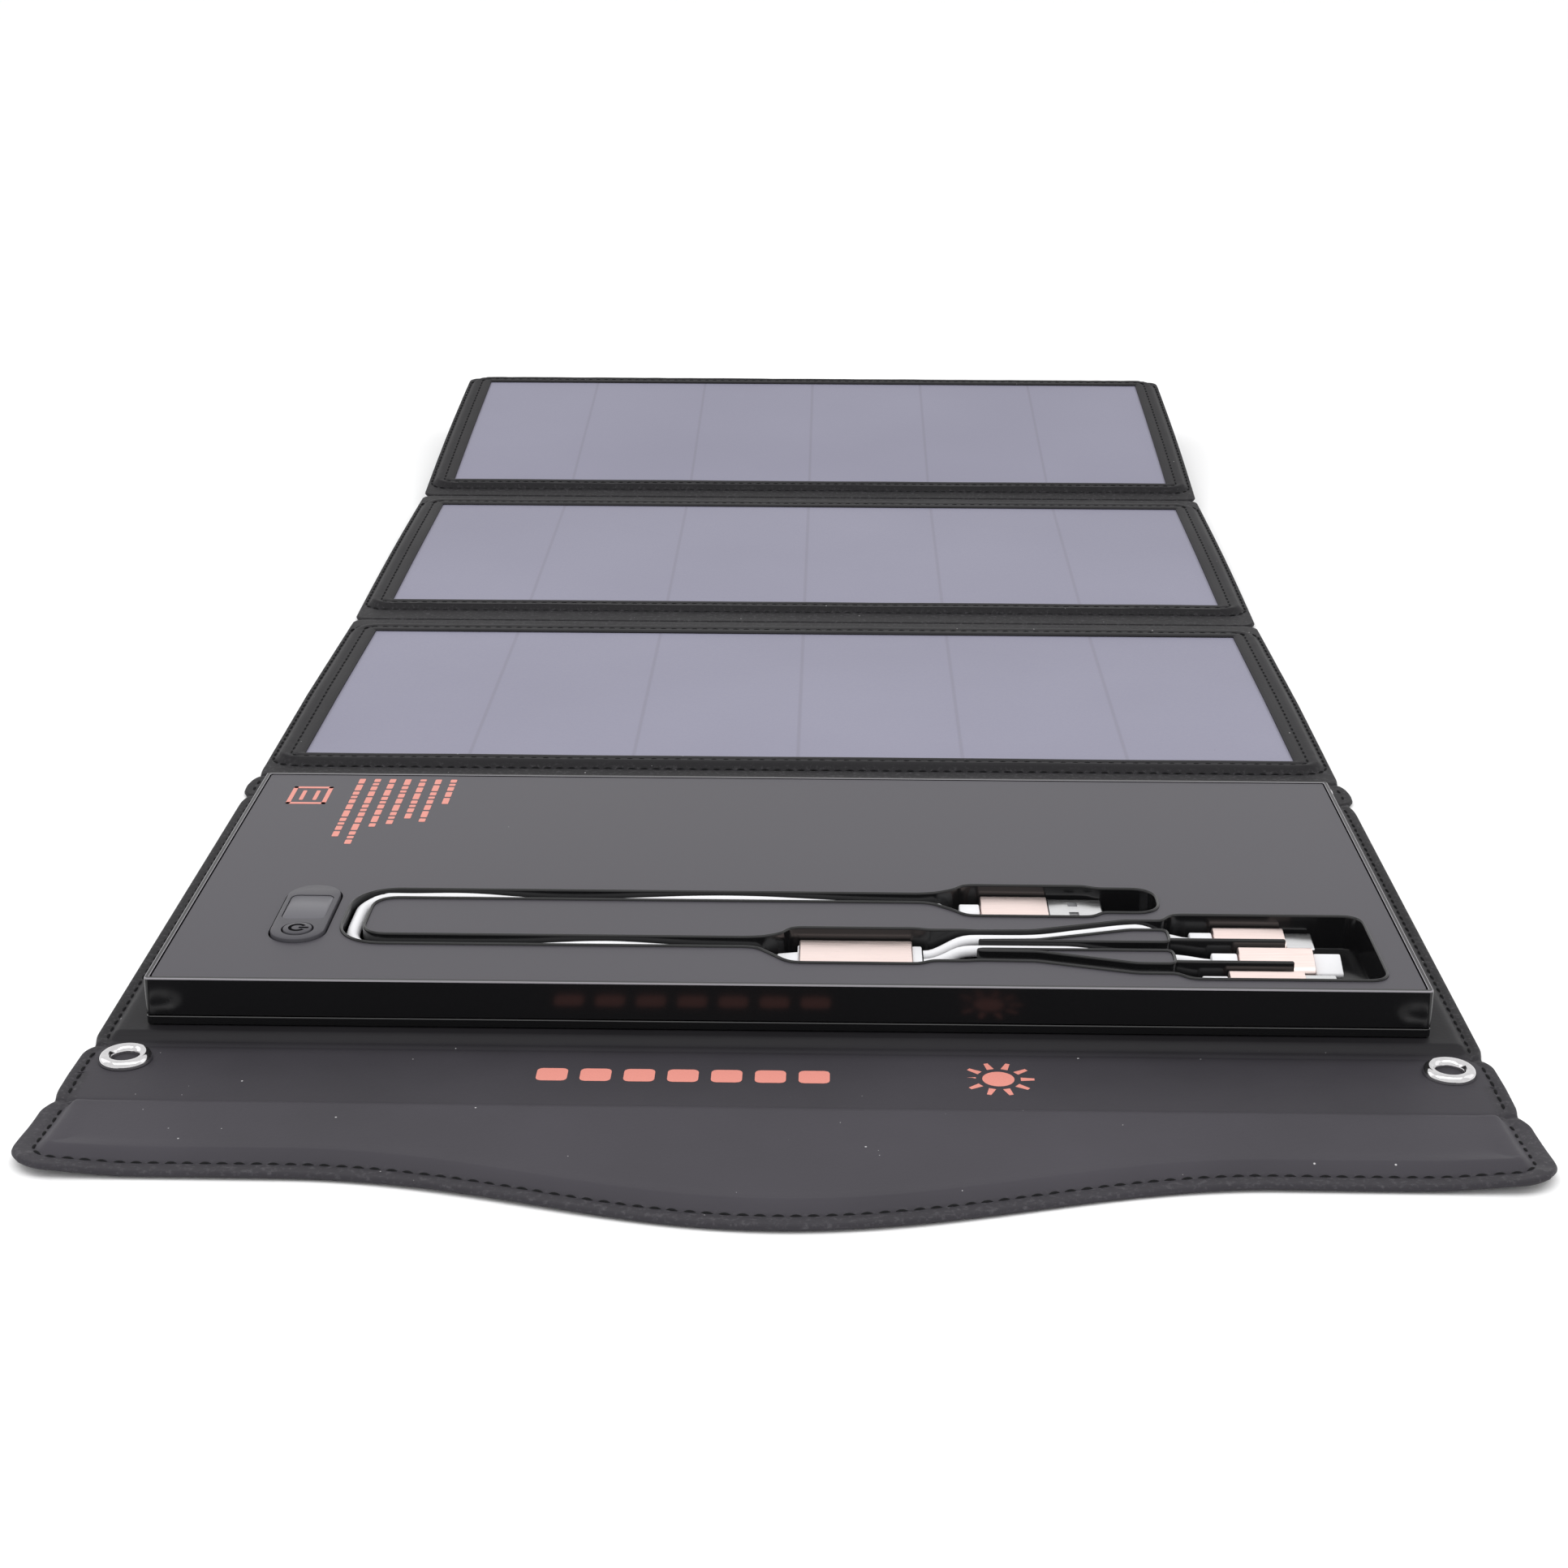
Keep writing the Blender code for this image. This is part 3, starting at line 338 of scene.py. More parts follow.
# ---- materials ----
class Shader:
    """Builds one node material; inputs may be a number, a colour or another node's output."""

    def __init__(self, name):
        self.mat = bpy.data.materials.new(name)
        self.mat.use_nodes = True
        self.tree = self.mat.node_tree
        self.bsdf = self.tree.nodes["Principled BSDF"]
        self.coords = self.tree.nodes.new("ShaderNodeTexCoord").outputs["Object"]

    def put(self, socket, value):
        if isinstance(value, bpy.types.NodeSocket):
            self.tree.links.new(value, socket)
        else:
            socket.default_value = (*value, 1.0) if isinstance(value, tuple) else value

    def fill(self, made, inputs):
        for key, value in inputs.items():
            self.put(made.inputs[key.replace("_", " ")], value)
        return made

    def node(self, kind, **inputs):
        return self.fill(self.tree.nodes.new(kind), inputs)

    def set(self, **inputs):
        self.fill(self.bsdf, inputs)

    def noise(self, scale, detail=3.0, roughness=0.5, vector=None):
        return self.node("ShaderNodeTexNoise", Vector=vector or self.coords, Scale=scale,
                         Detail=detail, Roughness=roughness).outputs["Fac"]

    def cells(self, scale, feature="F1"):
        made = self.tree.nodes.new("ShaderNodeTexVoronoi")
        made.feature = feature
        return self.fill(made, {"Vector": self.coords, "Scale": scale})

    def ramp(self, source, low=0.3, high=0.7, from_value=0.0, to_value=1.0):
        """source between low and high, mapped to from_value..to_value and held outside."""
        return self.node("ShaderNodeMapRange", Value=source, From_Min=low, From_Max=high,
                         To_Min=from_value, To_Max=to_value).outputs["Result"]

    def math(self, operation, a, b=0.0):
        made = self.tree.nodes.new("ShaderNodeMath")
        made.operation = operation
        self.put(made.inputs[0], a)
        self.put(made.inputs[1], b)
        return made.outputs[0]

    def mix(self, factor, a, b):
        made = self.tree.nodes.new("ShaderNodeMix")
        made.data_type = "RGBA"
        for index, value in ((0, factor), (6, a), (7, b)):
            self.put(made.inputs[index], value)
        return made.outputs[2]

    def bump(self, height, strength, depth_mm, below=None):
        made = self.node("ShaderNodeBump", Height=height, Strength=strength, Distance=depth_mm * MM)
        if below:
            self.put(made.inputs["Normal"], below)
        return made.outputs["Normal"]

    def attribute(self, name):
        made = self.tree.nodes.new("ShaderNodeAttribute")
        made.attribute_name = name
        return made.outputs["Fac"]


def specks(s, scale, radius, share):
    """1 on small round specks, 0 elsewhere: one in some of the cells of a Voronoi texture."""
    made = s.cells(scale)
    dot = s.ramp(made.outputs["Distance"], radius, radius * 0.6)
    return s.math("MULTIPLY", dot, s.math("GREATER_THAN", made.outputs["Color"], 1.0 - share))


def leather_material(name, base, painted_lit_base, wear):
    """Soft-touch black leather: pebble grain, faint mottling, dust, and wear on sewn edges;
    the spine and the flap get a painted lit base, lighter, standing in for the front light falling
    on the near leather."""
    s = Shader(name)
    grain = s.cells(1250.0, "SMOOTH_F1").outputs["Distance"]
    fine = s.noise(2600.0, 4.0, 0.6)
    pores = s.noise(700.0, 3.0, 0.55)
    cloud = s.noise(14.0, 4.0, 0.6)
    # painted light: where the tone attribute is high, on the spine and the flap, the base moves to
    # the lighter second colour
    lit = s.node("ShaderNodeVectorMath", Vector=s.mix(s.attribute("painted_light_tone"), base, painted_lit_base))
    lit.operation = "SCALE"
    s.put(lit.inputs["Scale"], s.ramp(cloud, from_value=0.86, to_value=1.16))
    dust = s.math("MAXIMUM", specks(s, 210.0, 0.055, 0.3), specks(s, 520.0, 0.07, 0.14))
    rubbed = s.math("MULTIPLY", s.attribute("hem"), s.ramp(s.noise(900.0, 4.0, 0.7), 0.52, 0.72))
    colour = s.mix(s.math("MULTIPLY", rubbed, wear), lit.outputs[0], (0.30, 0.29, 0.31))
    colour = s.mix(s.math("MULTIPLY", dust, 0.8), colour, (0.55, 0.54, 0.55))
    relief = s.bump(grain, 0.22, 0.07, s.bump(pores, 0.16, 0.10))
    s.set(Base_Color=colour, Roughness=s.ramp(cloud, from_value=0.50, to_value=0.60), IOR=1.25,
          Normal=s.bump(fine, 0.10, 0.04, relief))
    return s.mat


def thread_material():
    """Twisted black polyester thread."""
    s = Shader("thread")
    strand = s.noise(3200.0, 2.0, 0.5)
    s.set(Base_Color=s.mix(strand, (0.003, 0.003, 0.0035), (0.012, 0.012, 0.013)),
          Roughness=0.7, IOR=1.2, Normal=s.bump(strand, 0.5, 0.08))
    return s.mat


def panel_material(name, x_pitch):
    """Matte laminate over dark cells: fine dimpled film, faint seams between the cell strips."""
    s = Shader(name)
    axes = s.node("ShaderNodeSeparateXYZ", Vector=s.coords)
    across = s.math("DIVIDE", axes.outputs["X"], x_pitch * MM)
    off_seam = s.math("ABSOLUTE", s.math("SUBTRACT", across, s.math("ROUND", across)))
    seam = s.ramp(off_seam, 0.016, 0.006)
    film = s.noise(1500.0, 3.0, 0.6)
    body = s.mix(s.ramp(s.noise(9.0)), (0.214, 0.209, 0.278), (0.236, 0.231, 0.304))
    body = s.mix(s.math("MULTIPLY", seam, 0.30), body, (0.13, 0.12, 0.15))
    body = s.mix(s.math("MULTIPLY", specks(s, 120.0, 0.03, 0.1), 0.7), body, (0.09, 0.09, 0.1))
    body = s.mix(s.ramp(film, 0.35, 0.65, 0.0, 0.10), body, (0.27, 0.265, 0.34))
    dimples = s.cells(1100.0, "SMOOTH_F1").outputs["Distance"]
    s.set(Base_Color=body, Roughness=s.ramp(film, from_value=0.40, to_value=0.50), IOR=1.27,
          Normal=s.bump(dimples, 0.12, 0.05, s.bump(film, 0.10, 0.04)))
    return s.mat


def moulded_material(name, base, roughness, grain_scale, grain_strength, ior=1.45):
    """Moulded or painted plastic with a fine texture and slight tone variation."""
    s = Shader(name)
    cloud = s.noise(22.0)
    s.set(Base_Color=s.mix(s.ramp(cloud), tuple(c * 0.92 for c in base), base), IOR=ior,
          Roughness=s.ramp(cloud, 0.25, 0.75, roughness * 0.9, roughness * 1.12),
          Normal=s.bump(s.noise(grain_scale, 4.0, 0.6), grain_strength, 0.03))
    return s.mat


def plate_material():
    """Satin dark-grey top plate: finely blasted paint, a little dust."""
    s = Shader("satin_plate_paint")
    cloud = s.noise(7.0)
    body = s.mix(s.ramp(cloud), (0.054, 0.051, 0.060), (0.062, 0.059, 0.069))
    body = s.mix(s.math("MULTIPLY", specks(s, 190.0, 0.035, 0.10), 0.6), body, (0.4, 0.4, 0.42))
    s.set(Base_Color=body, Roughness=s.ramp(cloud, from_value=0.34, to_value=0.40), IOR=1.27,
          Normal=s.bump(s.noise(2400.0, 3.0, 0.6), 0.08, 0.03))
    return s.mat


def metal_material(name, base, roughness, brush):
    """Brushed or polished metal; brush stretches the scratches along x."""
    s = Shader(name)
    grain = s.node("ShaderNodeMapping", Vector=s.coords)
    grain.inputs["Scale"].default_value = (120.0, 5200.0, 5200.0) if brush else (900.0,) * 3
    lines = s.noise(1.0, 4.0, 0.6, grain.outputs["Vector"])
    s.set(Base_Color=s.mix(s.ramp(lines), tuple(c * 0.88 for c in base), base), Metallic=1.0,
          Roughness=s.ramp(lines, 0.3, 0.7, roughness * 0.8, roughness * 1.25),
          Normal=s.bump(lines, 0.12 if brush else 0.03, 0.02))
    return s.mat


def print_material():
    """Screen-printed salmon ink."""
    s = Shader("salmon_ink")
    fine = s.noise(3000.0, 3.0, 0.6)
    s.set(Base_Color=s.mix(s.ramp(fine), (0.62, 0.225, 0.182), (0.68, 0.25, 0.205)),
          Roughness=0.5, Normal=s.bump(fine, 0.15, 0.02))
    return s.mat


def floor_material():
    """Plain pale studio floor with a trace of tone."""
    s = Shader("studio_floor")
    cloud = s.noise(1.2, 2.0)
    s.set(Base_Color=s.mix(cloud, (0.95, 0.95, 0.953), (0.965, 0.965, 0.968)), Roughness=0.85)
    return s.mat


# painted light: the second colour is the lighter base of the spine and the flap, standing in for
# the front light on the near leather
LEATHER = leather_material("black_leather", (0.0125, 0.0118, 0.0135), (0.0450, 0.0418, 0.0500),
                           0.14)
THREAD = thread_material()
PANEL = panel_material("solar_laminate_film", CELL_PITCH)
BOARD = moulded_material("fibre_board", (0.35, 0.30, 0.24), 0.8, 900.0, 0.3)
GLOSS = moulded_material("gloss_black_plastic", (0.0065, 0.0065, 0.007), 0.13, 900.0, 0.01, 1.4)
# painted highlight: light grey for the side frame's top bevels, standing in for the light that they
# reflect
BEVEL_HIGHLIGHT = moulded_material("painted_bevel_highlight", (0.25, 0.24, 0.26), 0.4, 900.0, 0.05, 1.3)
MARK = moulded_material("engraved_mark", (0.004, 0.004, 0.0045), 0.8, 900.0, 0.02, 1.08)
PLATE = plate_material()
WHITE = moulded_material("white_cable_plastic", (0.76, 0.76, 0.78), 0.42, 1800.0, 0.04)
ROSE = metal_material("rose_anodised_metal", (1.0, 0.83, 0.785), 0.32, True)
STEEL = metal_material("plug_steel", (0.74, 0.74, 0.75), 0.22, True)
CHROME = metal_material("eyelet_chrome", (0.66, 0.65, 0.66), 0.08, False)
SCREEN_MAT = moulded_material("display_window", (0.110, 0.108, 0.122), 0.32, 1500.0, 0.03, 1.3)
PILL_MAT = moulded_material("display_cover_plastic", (0.060, 0.058, 0.067), 0.36, 2000.0, 0.05, 1.3)
FOAM = moulded_material("padding_foam", (0.2, 0.2, 0.2), 0.9, 500.0, 0.4)
MAGNET = metal_material("magnet_plating", (0.55, 0.55, 0.57), 0.3, False)
CIRCUIT = moulded_material("solder_mask", (0.02, 0.16, 0.07), 0.45, 700.0, 0.1)
FOIL = metal_material("cell_foil", (0.6, 0.6, 0.62), 0.35, False)
INK = print_material()


# ---- leather ----
def graded(marks, fine, coarse):
    """Grid lines through every mark, fine beside the marks and coarser in the middle."""
    lines = [marks[0]]
    for a, b in zip(marks, marks[1:]):
        steps, t = [], a
        while t < b:
            t += min(coarse, fine + 0.16 * max(min(t - a, b - t), 0.0))
            steps.append(t)
        share = (b - a) / (steps[-1] - a)
        lines += [a + (t - a) * share for t in steps]
    return np.array(lines)


def window_grid(start, near, far, end):
    """Grid lines across a solar leaf, with pairs at its window's edges."""
    return graded([start, near - 0.04, near + 0.04, far - 0.04, far + 0.04, end], 0.30, 5.0)


def half_width(y, marks):
    """The wallet's half width along y: marks holds (y, half width), eased between."""
    ys, halves = zip(*marks)
    return np.mean([np.interp(y + d, ys, halves) for d in np.linspace(-1.3, 1.3, 7)], axis=0)


def widened(x, half, target):
    """Move the outer 18 mm of each side from half to the target half width."""
    return x + np.sign(x) * (target - half) * ease(np.abs(x), half - 18.0, half)


def rounded(x, y, x_half, y_edge, sign, r):
    """Turn the square corners at y_edge into round ones; sign is -1 for a near edge."""
    p = np.abs(x) - (x_half - r)
    q = sign * (y - y_edge) + r
    inside = (p > 0) & (q > 0)
    reach = np.where(inside, np.maximum(p, q) / np.maximum(np.hypot(p, q), 1e-9), 1.0)
    new_x = np.where(inside, np.sign(x) * (x_half - r + p * reach), x)
    return new_x, np.where(inside, y_edge + sign * (q * reach - r), y)


def edge_drop(w, r=EDGE_ROUND):
    """How far a rounded edge falls away, w in from the edge."""
    t = np.clip(1.0 - np.asarray(w, float) / r, 0.0, 1.0)
    return r * (1.0 - np.sqrt(1.0 - t * t)) * 0.93


def closed_grid(name, upper, lower, place):
    """A closed leather solid between two grids of points."""
    nx, ny = upper.shape[:2]
    index = np.arange(nx * ny).reshape(nx, ny)
    a, b, c, d = index[:-1, :-1], index[1:, :-1], index[1:, 1:], index[:-1, 1:]
    quads = np.stack([a, b, c, d], -1).reshape(-1, 4)
    faces = quads.tolist() + (quads[:, ::-1] + nx * ny).tolist()
    rim = np.concatenate([index[:, 0], index[-1, 1:], index[-2::-1, -1], index[0, -2:0:-1]])
    faces += [[j, i, i + nx * ny, j + nx * ny] for i, j in zip(rim, np.roll(rim, -1))]
    points = np.vstack([upper.reshape(-1, 3), lower.reshape(-1, 3)])
    obj = mesh_object(name, placed(points, place), faces, LEATHER, 50.0)
    return obj


def slab(name, columns, rows, shape, place):
    """A closed leather solid over a grid: shape turns x and y arrays into the surface's
    x, y, top z, bottom z and hem (1 on sewn edges)."""
    x, y, top, low, hem = shape(*np.meshgrid(columns, rows, indexing="ij"))
    obj = closed_grid(name, np.stack([x, y, top], -1), np.stack([x, y, low], -1), place)
    # painted light: weight of the lighter base, 0.72 on the spine and up to 1 on the flap, held
    # back on the sewn edges, root-frame pieces only
    tone = 0.72 * ease(y, -2.0, -11.0) + 0.28 * ease(y, FLAP_FOLD + 1.0, FLAP_FOLD - 5.0)
    tone = tone * (1.0 - 0.45 * hem) * float(place is ROOT)
    for label, upper, lower in (("hem", hem, 0.0 * hem), ("painted_light_tone", tone, tone)):
        values = np.append(upper, lower).astype(np.float32)
        obj.data.attributes.new(label, "FLOAT", "POINT").data.foreach_set("value", values)
    return obj


def bent(obj, a, b, fold, reach, z=HEM_Z, place=ROOT):
    """Bake a leather piece's transform into its mesh; a, b, fold, reach, z and place are not used.
    """
    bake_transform(obj)


def folding(name, columns, rows, shape, bodies, fold, reach, nodes):
    """A leather slab across a fold between two bodies, with the CAD nodes that it replaces hidden.
    """
    obj = slab(name, columns, rows, shape, ROOT)
    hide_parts(*nodes)
    bent(obj, *bodies, fold, reach)
    return obj


def flat_web(name, place, z0, z1, *bodies):
    """Thin leather under a fold between two solar leaves."""
    gx, gy = np.meshgrid(np.linspace(-LEAF_HALF + 1.5, LEAF_HALF - 1.5, 60),
                         np.linspace(-WEB_REACH - 1, WEB_REACH + 1, 33), indexing="ij")
    upper, lower = [np.stack([gx, gy, np.full(gx.shape, z)], -1) for z in (z1, z0)]
    bent(closed_grid(name, upper, lower, place), *bodies, 0.0, WEB_REACH, z0, place)


def leaf_border(number, x, y, y0, y1):
    """Top z, bottom z and hem of a solar leaf: padded border, stitch lines, window."""
    window, _, far_stretch = LEAVES[number]
    out_x = np.abs(x) - WINDOW_HALF
    out_y = np.maximum(NEAR_STRETCH * (window - y), far_stretch * (y - window - WINDOW_DEPTH))
    both = (out_x > 0) & (out_y > 0)
    out = np.where(both, np.hypot(out_x, out_y), np.maximum(out_x, out_y))
    low = edge_drop(np.minimum(LEAF_HALF - np.abs(x), np.minimum(y - y0, y1 - y)))
    uneven = ripple(x, y, 26.0, 17.0, number + 0.5)
    puckers = ripple(x, y, 3.1, 3.1, number + 7.5)
    pad = ease(out, 8.3, 6.3) * (PAD_Z - HEM_Z)
    top = HEM_Z + pad * (0.96 + 0.04 * uneven) + 0.04 * ridge(out, 6.0, 1.0) * (1 + puckers)
    top -= 0.42 * ridge(out, INNER_STITCH, 0.55) + 0.24 * ridge(out, OUTER_STITCH, 0.5)
    top -= 0.30 * ease(out, 1.0, 0.0)
    top += 0.05 * puckers * ease(out, 1.0, 3.0)
    top = np.where(out < 0.0, WINDOW_FLOOR_Z, top) - low
    return top, low, ease(out, 6.6, 8.6)


def free_leaf_shape(number, z_under, y0, y1):
    """Surface of leaf 1 or 2 in its own frame."""
    def shape(x, y):
        top, low, hem = leaf_border(number, x, y, y0, y1)
        bulge = LEAF_HALF + 0.5 * np.sin(math.pi * np.clip((y - y0) / (y1 - y0), 0, 1))
        new_x, new_y = rounded(widened(x, LEAF_HALF, bulge), y, LEAF_HALF, y0, -1, CORNER_R)
        new_x, new_y = rounded(new_x, new_y, LEAF_HALF, y1, 1, CORNER_R)
        return new_x, new_y, top + z_under, low + z_under, hem
    return shape


def leaf_3_shape(x, y):
    """Surface of the front half of the gusset strip and leaf 3, local y."""
    own = y - LEAF_3_FOLD
    y1 = LEAVES[3][1] - RUN
    top, low, hem = leaf_border(3, x, own, -1000.0, y1)
    marks = ((GUSSET_SEAM, STRIP_HALF), (LEAF_3_FOLD - 3, STRIP_HALF - 0.6),
             (LEAF_3_FOLD, NOTCH_HALF), (LEAF_3_FOLD + 4, LEAF_HALF),
             (LEAF_3_FOLD + 70, LEAF_HALF + 0.5), (LEAF_3_FOLD + y1, LEAF_HALF))
    strip = ease(own, 0.6, -0.8)
    flat = strip_top(x, y, LEAF_HALF - np.abs(x))
    top = top * (1 - strip) + flat * strip - 0.35 * ridge(own, 0.0, 0.7)
    new_x = widened(x, LEAF_HALF, half_width(y, marks))
    new_x, new_own = rounded(new_x, own, LEAF_HALF, y1, 1, CORNER_R)
    return new_x, new_own + LEAF_3_FOLD, top, low, np.maximum(hem, strip * 0.4)


def strip_top(x, y, side):
    """Top z of a folding strip: flat, with a stitch line along each side."""
    uneven = 0.07 * ripple(x, y, 34.0, 11.0, 3.5)
    return HEM_Z + uneven - 0.2 * ridge(side, BANK_STITCH, 0.5) - edge_drop(side)


def bank_leaf_top(x, y, side, end_from_edge):
    """Top z of the bank leaf: sewn hem, step, and the face that the bank is glued to."""
    inward = np.minimum(side, end_from_edge + 0.8)
    puckers = ripple(x, y, 3.4, 3.4, 11.5)
    rise = ease(inward, 2.9, 4.8) * (BANK_FACE_Z - HEM_Z)
    top = HEM_Z + rise + 0.06 * puckers * ridge(inward, 4.2, 1.2)
    return top - 0.28 * ridge(side, BANK_STITCH, 0.5) - edge_drop(side)


def bank_leaf_shape(fold, seam, sign):
    """Surface of half the bank leaf and the half strip beside it, local y; sign is 1 where the
    leaf lies beyond the fold and -1 where it lies before."""
    marks = sorted([(seam, STRIP_HALF), (fold - 3 * sign, STRIP_HALF - 0.3), (fold, NOTCH_HALF),
                    (fold + 5 * sign, BANK_LEAF_HALF), (BANK_SEAM, BANK_LEAF_HALF)])

    def shape(x, y):
        side = BANK_LEAF_HALF - np.abs(x)
        leaf = ease(y, fold - 0.8 * sign, fold + 0.8 * sign)
        top = strip_top(x, y, side) * (1 - leaf)
        top += bank_leaf_top(x, y, side, sign * (y - fold)) * leaf - 0.30 * ridge(y, fold, 0.7)
        new_x = widened(x, BANK_LEAF_HALF, half_width(y, marks))
        return new_x, y, top, edge_drop(side), ease(side, 3.4, 2.2)
    return shape


front_shape = bank_leaf_shape(FRONT_FOLD, SPINE_SEAM, 1)
rear_shape = bank_leaf_shape(REAR_FOLD, GUSSET_SEAM, -1)


def flap_drop(x):
    inside = np.abs(x) < FLAP_TIP_HALF
    return FLAP_TIP_DROP * np.where(inside, 0.5 + 0.5 * np.cos(math.pi * x / FLAP_TIP_HALF), 0.0)


def flap_shape(x, y):
    """Surface of the spine strip's front half and the closing flap. The grid's y runs straight,
    and the flap's curved end is pushed out from it."""
    y_side = FLAP_FOLD - FLAP_SIDE_LEN
    from_end = y - y_side
    side = FLAP_HALF - np.abs(x)
    inward = np.minimum(side, from_end)
    below_fold = FLAP_FOLD - 1.2 - y
    marks = ((y_side - 5, FLAP_HALF), (FLAP_FOLD - 4, FLAP_HALF - 0.4),
             (FLAP_FOLD, NOTCH_HALF + 1.4), (FLAP_FOLD + 4, STRIP_HALF), (SPINE_SEAM, STRIP_HALF))
    flap = ease(below_fold, 0.0, 2.2)
    uneven = ripple(x, y, 30.0, 12.0, 5.5)
    puckers = ripple(x, y, 3.3, 3.3, 9.5)
    rise = ease(inward, FLAP_STITCH + 0.4, FLAP_STITCH + 3.0) * (FLAP_PAD_Z - HEM_Z)
    pad = rise * (1.0 + 0.06 * uneven) + 0.14 * ridge(inward, FLAP_STITCH + 4.0, 2.0)
    pad += 0.07 * puckers * ridge(inward, FLAP_STITCH + 2.6, 1.5)
    top = HEM_Z + pad * flap + 0.14 * ridge(below_fold, 1.6, 1.0) * ease(inward, 3.0, 7.0)
    stitch_at = np.where(below_fold > 0.0, FLAP_STITCH, SPINE_STITCH)
    top -= 0.36 * ridge(inward, stitch_at, 0.6) + 0.25 * ridge(below_fold, -1.0, 0.7)
    top += (0.06 * puckers + 0.05 * uneven) * ease(inward, FLAP_STITCH, FLAP_STITCH - 2.0)
    top += strip_top(x, y, 50.0) - HEM_Z - edge_drop(inward, 0.65)
    curl = 1.5 * ease(np.hypot(side, from_end), 26.0, 2.0)
    curl += 0.5 * ease(from_end, 9.0, 0.0) * (0.5 + 0.5 * uneven)
    new_x = widened(x, FLAP_HALF, half_width(y, marks))
    new_x, new_y = rounded(new_x, y, FLAP_HALF, y_side, -1, FLAP_CORNER_R)
    new_y = new_y - flap_drop(new_x) * ease(from_end, FLAP_SIDE_LEN - 2.0, 10.0)
    low = edge_drop(inward, 0.65) + curl * ease(inward, 5.0, 2.0)
    return new_x, new_y, top + curl * ease(inward, 13.0, 5.0), low, ease(inward, 5.4, 3.8)


# ---- stitches ----
def stitches(name, paths, place, body):
    """A row of thread stitches: each a slim bowed capsule that dips into the leather."""
    sides = 6
    stations = np.array([-0.5, -0.42, -0.2, 0.0, 0.2, 0.42, 0.5])
    girth = np.array([0.25, 0.8, 1.0, 1.05, 1.0, 0.8, 0.25])
    bow = np.array([-0.35, -0.12, 0.12, 0.18, 0.12, -0.12, -0.35])
    turns = np.arange(sides) * 2 * math.pi / sides
    points, faces = [], []
    for path in paths:
        line = measured(path)
        length = line[1][-1]
        count = max(1, int(round(length / STITCH_PITCH)))
        at = (np.arange(count) + 0.5) * length / count
        ways = unit(points_at(at + 0.6, *line) - points_at(at - 0.6, *line))
        for i, (centre, way) in enumerate(zip(points_at(at, *line), ways)):
            across, up = across_and_up(way)
            along = way + across * 0.10 * math.sin(i * 2.4)
            base = len(points)
            for t, g, b in zip(stations, girth, bow):
                mid = centre + along * STITCH_LENGTH * t + up * (b + 0.05)
                points += [mid + (across * math.cos(a) + up * math.sin(a) * 0.8) * STITCH_R * g
                           for a in turns]
            last = len(points) - sides
            for low in range(base, last, sides):
                for j in range(sides):
                    n = (j + 1) % sides
                    faces.append((low + j, low + n, low + sides + n, low + sides + j))
            faces += [tuple(range(base, base + sides)), tuple(range(last, last + sides))]
    attach(mesh_object(name, placed(points, place), faces, THREAD, 60.0), body, "leather")


def on_surface(shape, outline):
    """Lift a flat outline on to a leather surface."""
    return np.stack(shape(*np.array(outline, float).T)[:3], -1)


def dense(points, step=1.5):
    """The same polyline with points no further apart than step."""
    result = []
    for (xa, ya), (xb, yb) in zip(points, points[1:]):
        count = max(1, int(math.hypot(xb - xa, yb - ya) / step))
        result += [(xa + (xb - xa) * i / count, ya + (yb - ya) * i / count)
                   for i in range(count)]
    return result + [points[-1]]


def window_stitches(number, shape, place, y_shift=0.0):
    """Two closed stitch lines round a leaf's window."""
    window, _, far_stretch = LEAVES[number]
    paths = []
    for out in (INNER_STITCH, OUTER_STITCH):
        near = window - out / NEAR_STRETCH + y_shift
        far = window + WINDOW_DEPTH + out / far_stretch + y_shift
        half = WINDOW_HALF + out
        outline = rounded_rect(-half, half, near, far, out * 0.75, 8)
        paths.append(on_surface(shape, dense(outline + outline[:1])))
    stitches("leaf_%d_stitches" % number, paths, place, "leaf_%d" % number)


def side_stitches(name, body, *runs):
    """Straight stitch lines along both sides; runs holds y0, y1, half width, inset and shape."""
    paths = [on_surface(shape, dense([(s * (half - inset), y0), (s * (half - inset), y1)]))
             for y0, y1, half, inset, shape in runs for s in (-1, 1)]
    stitches(name, paths, ROOT, body)


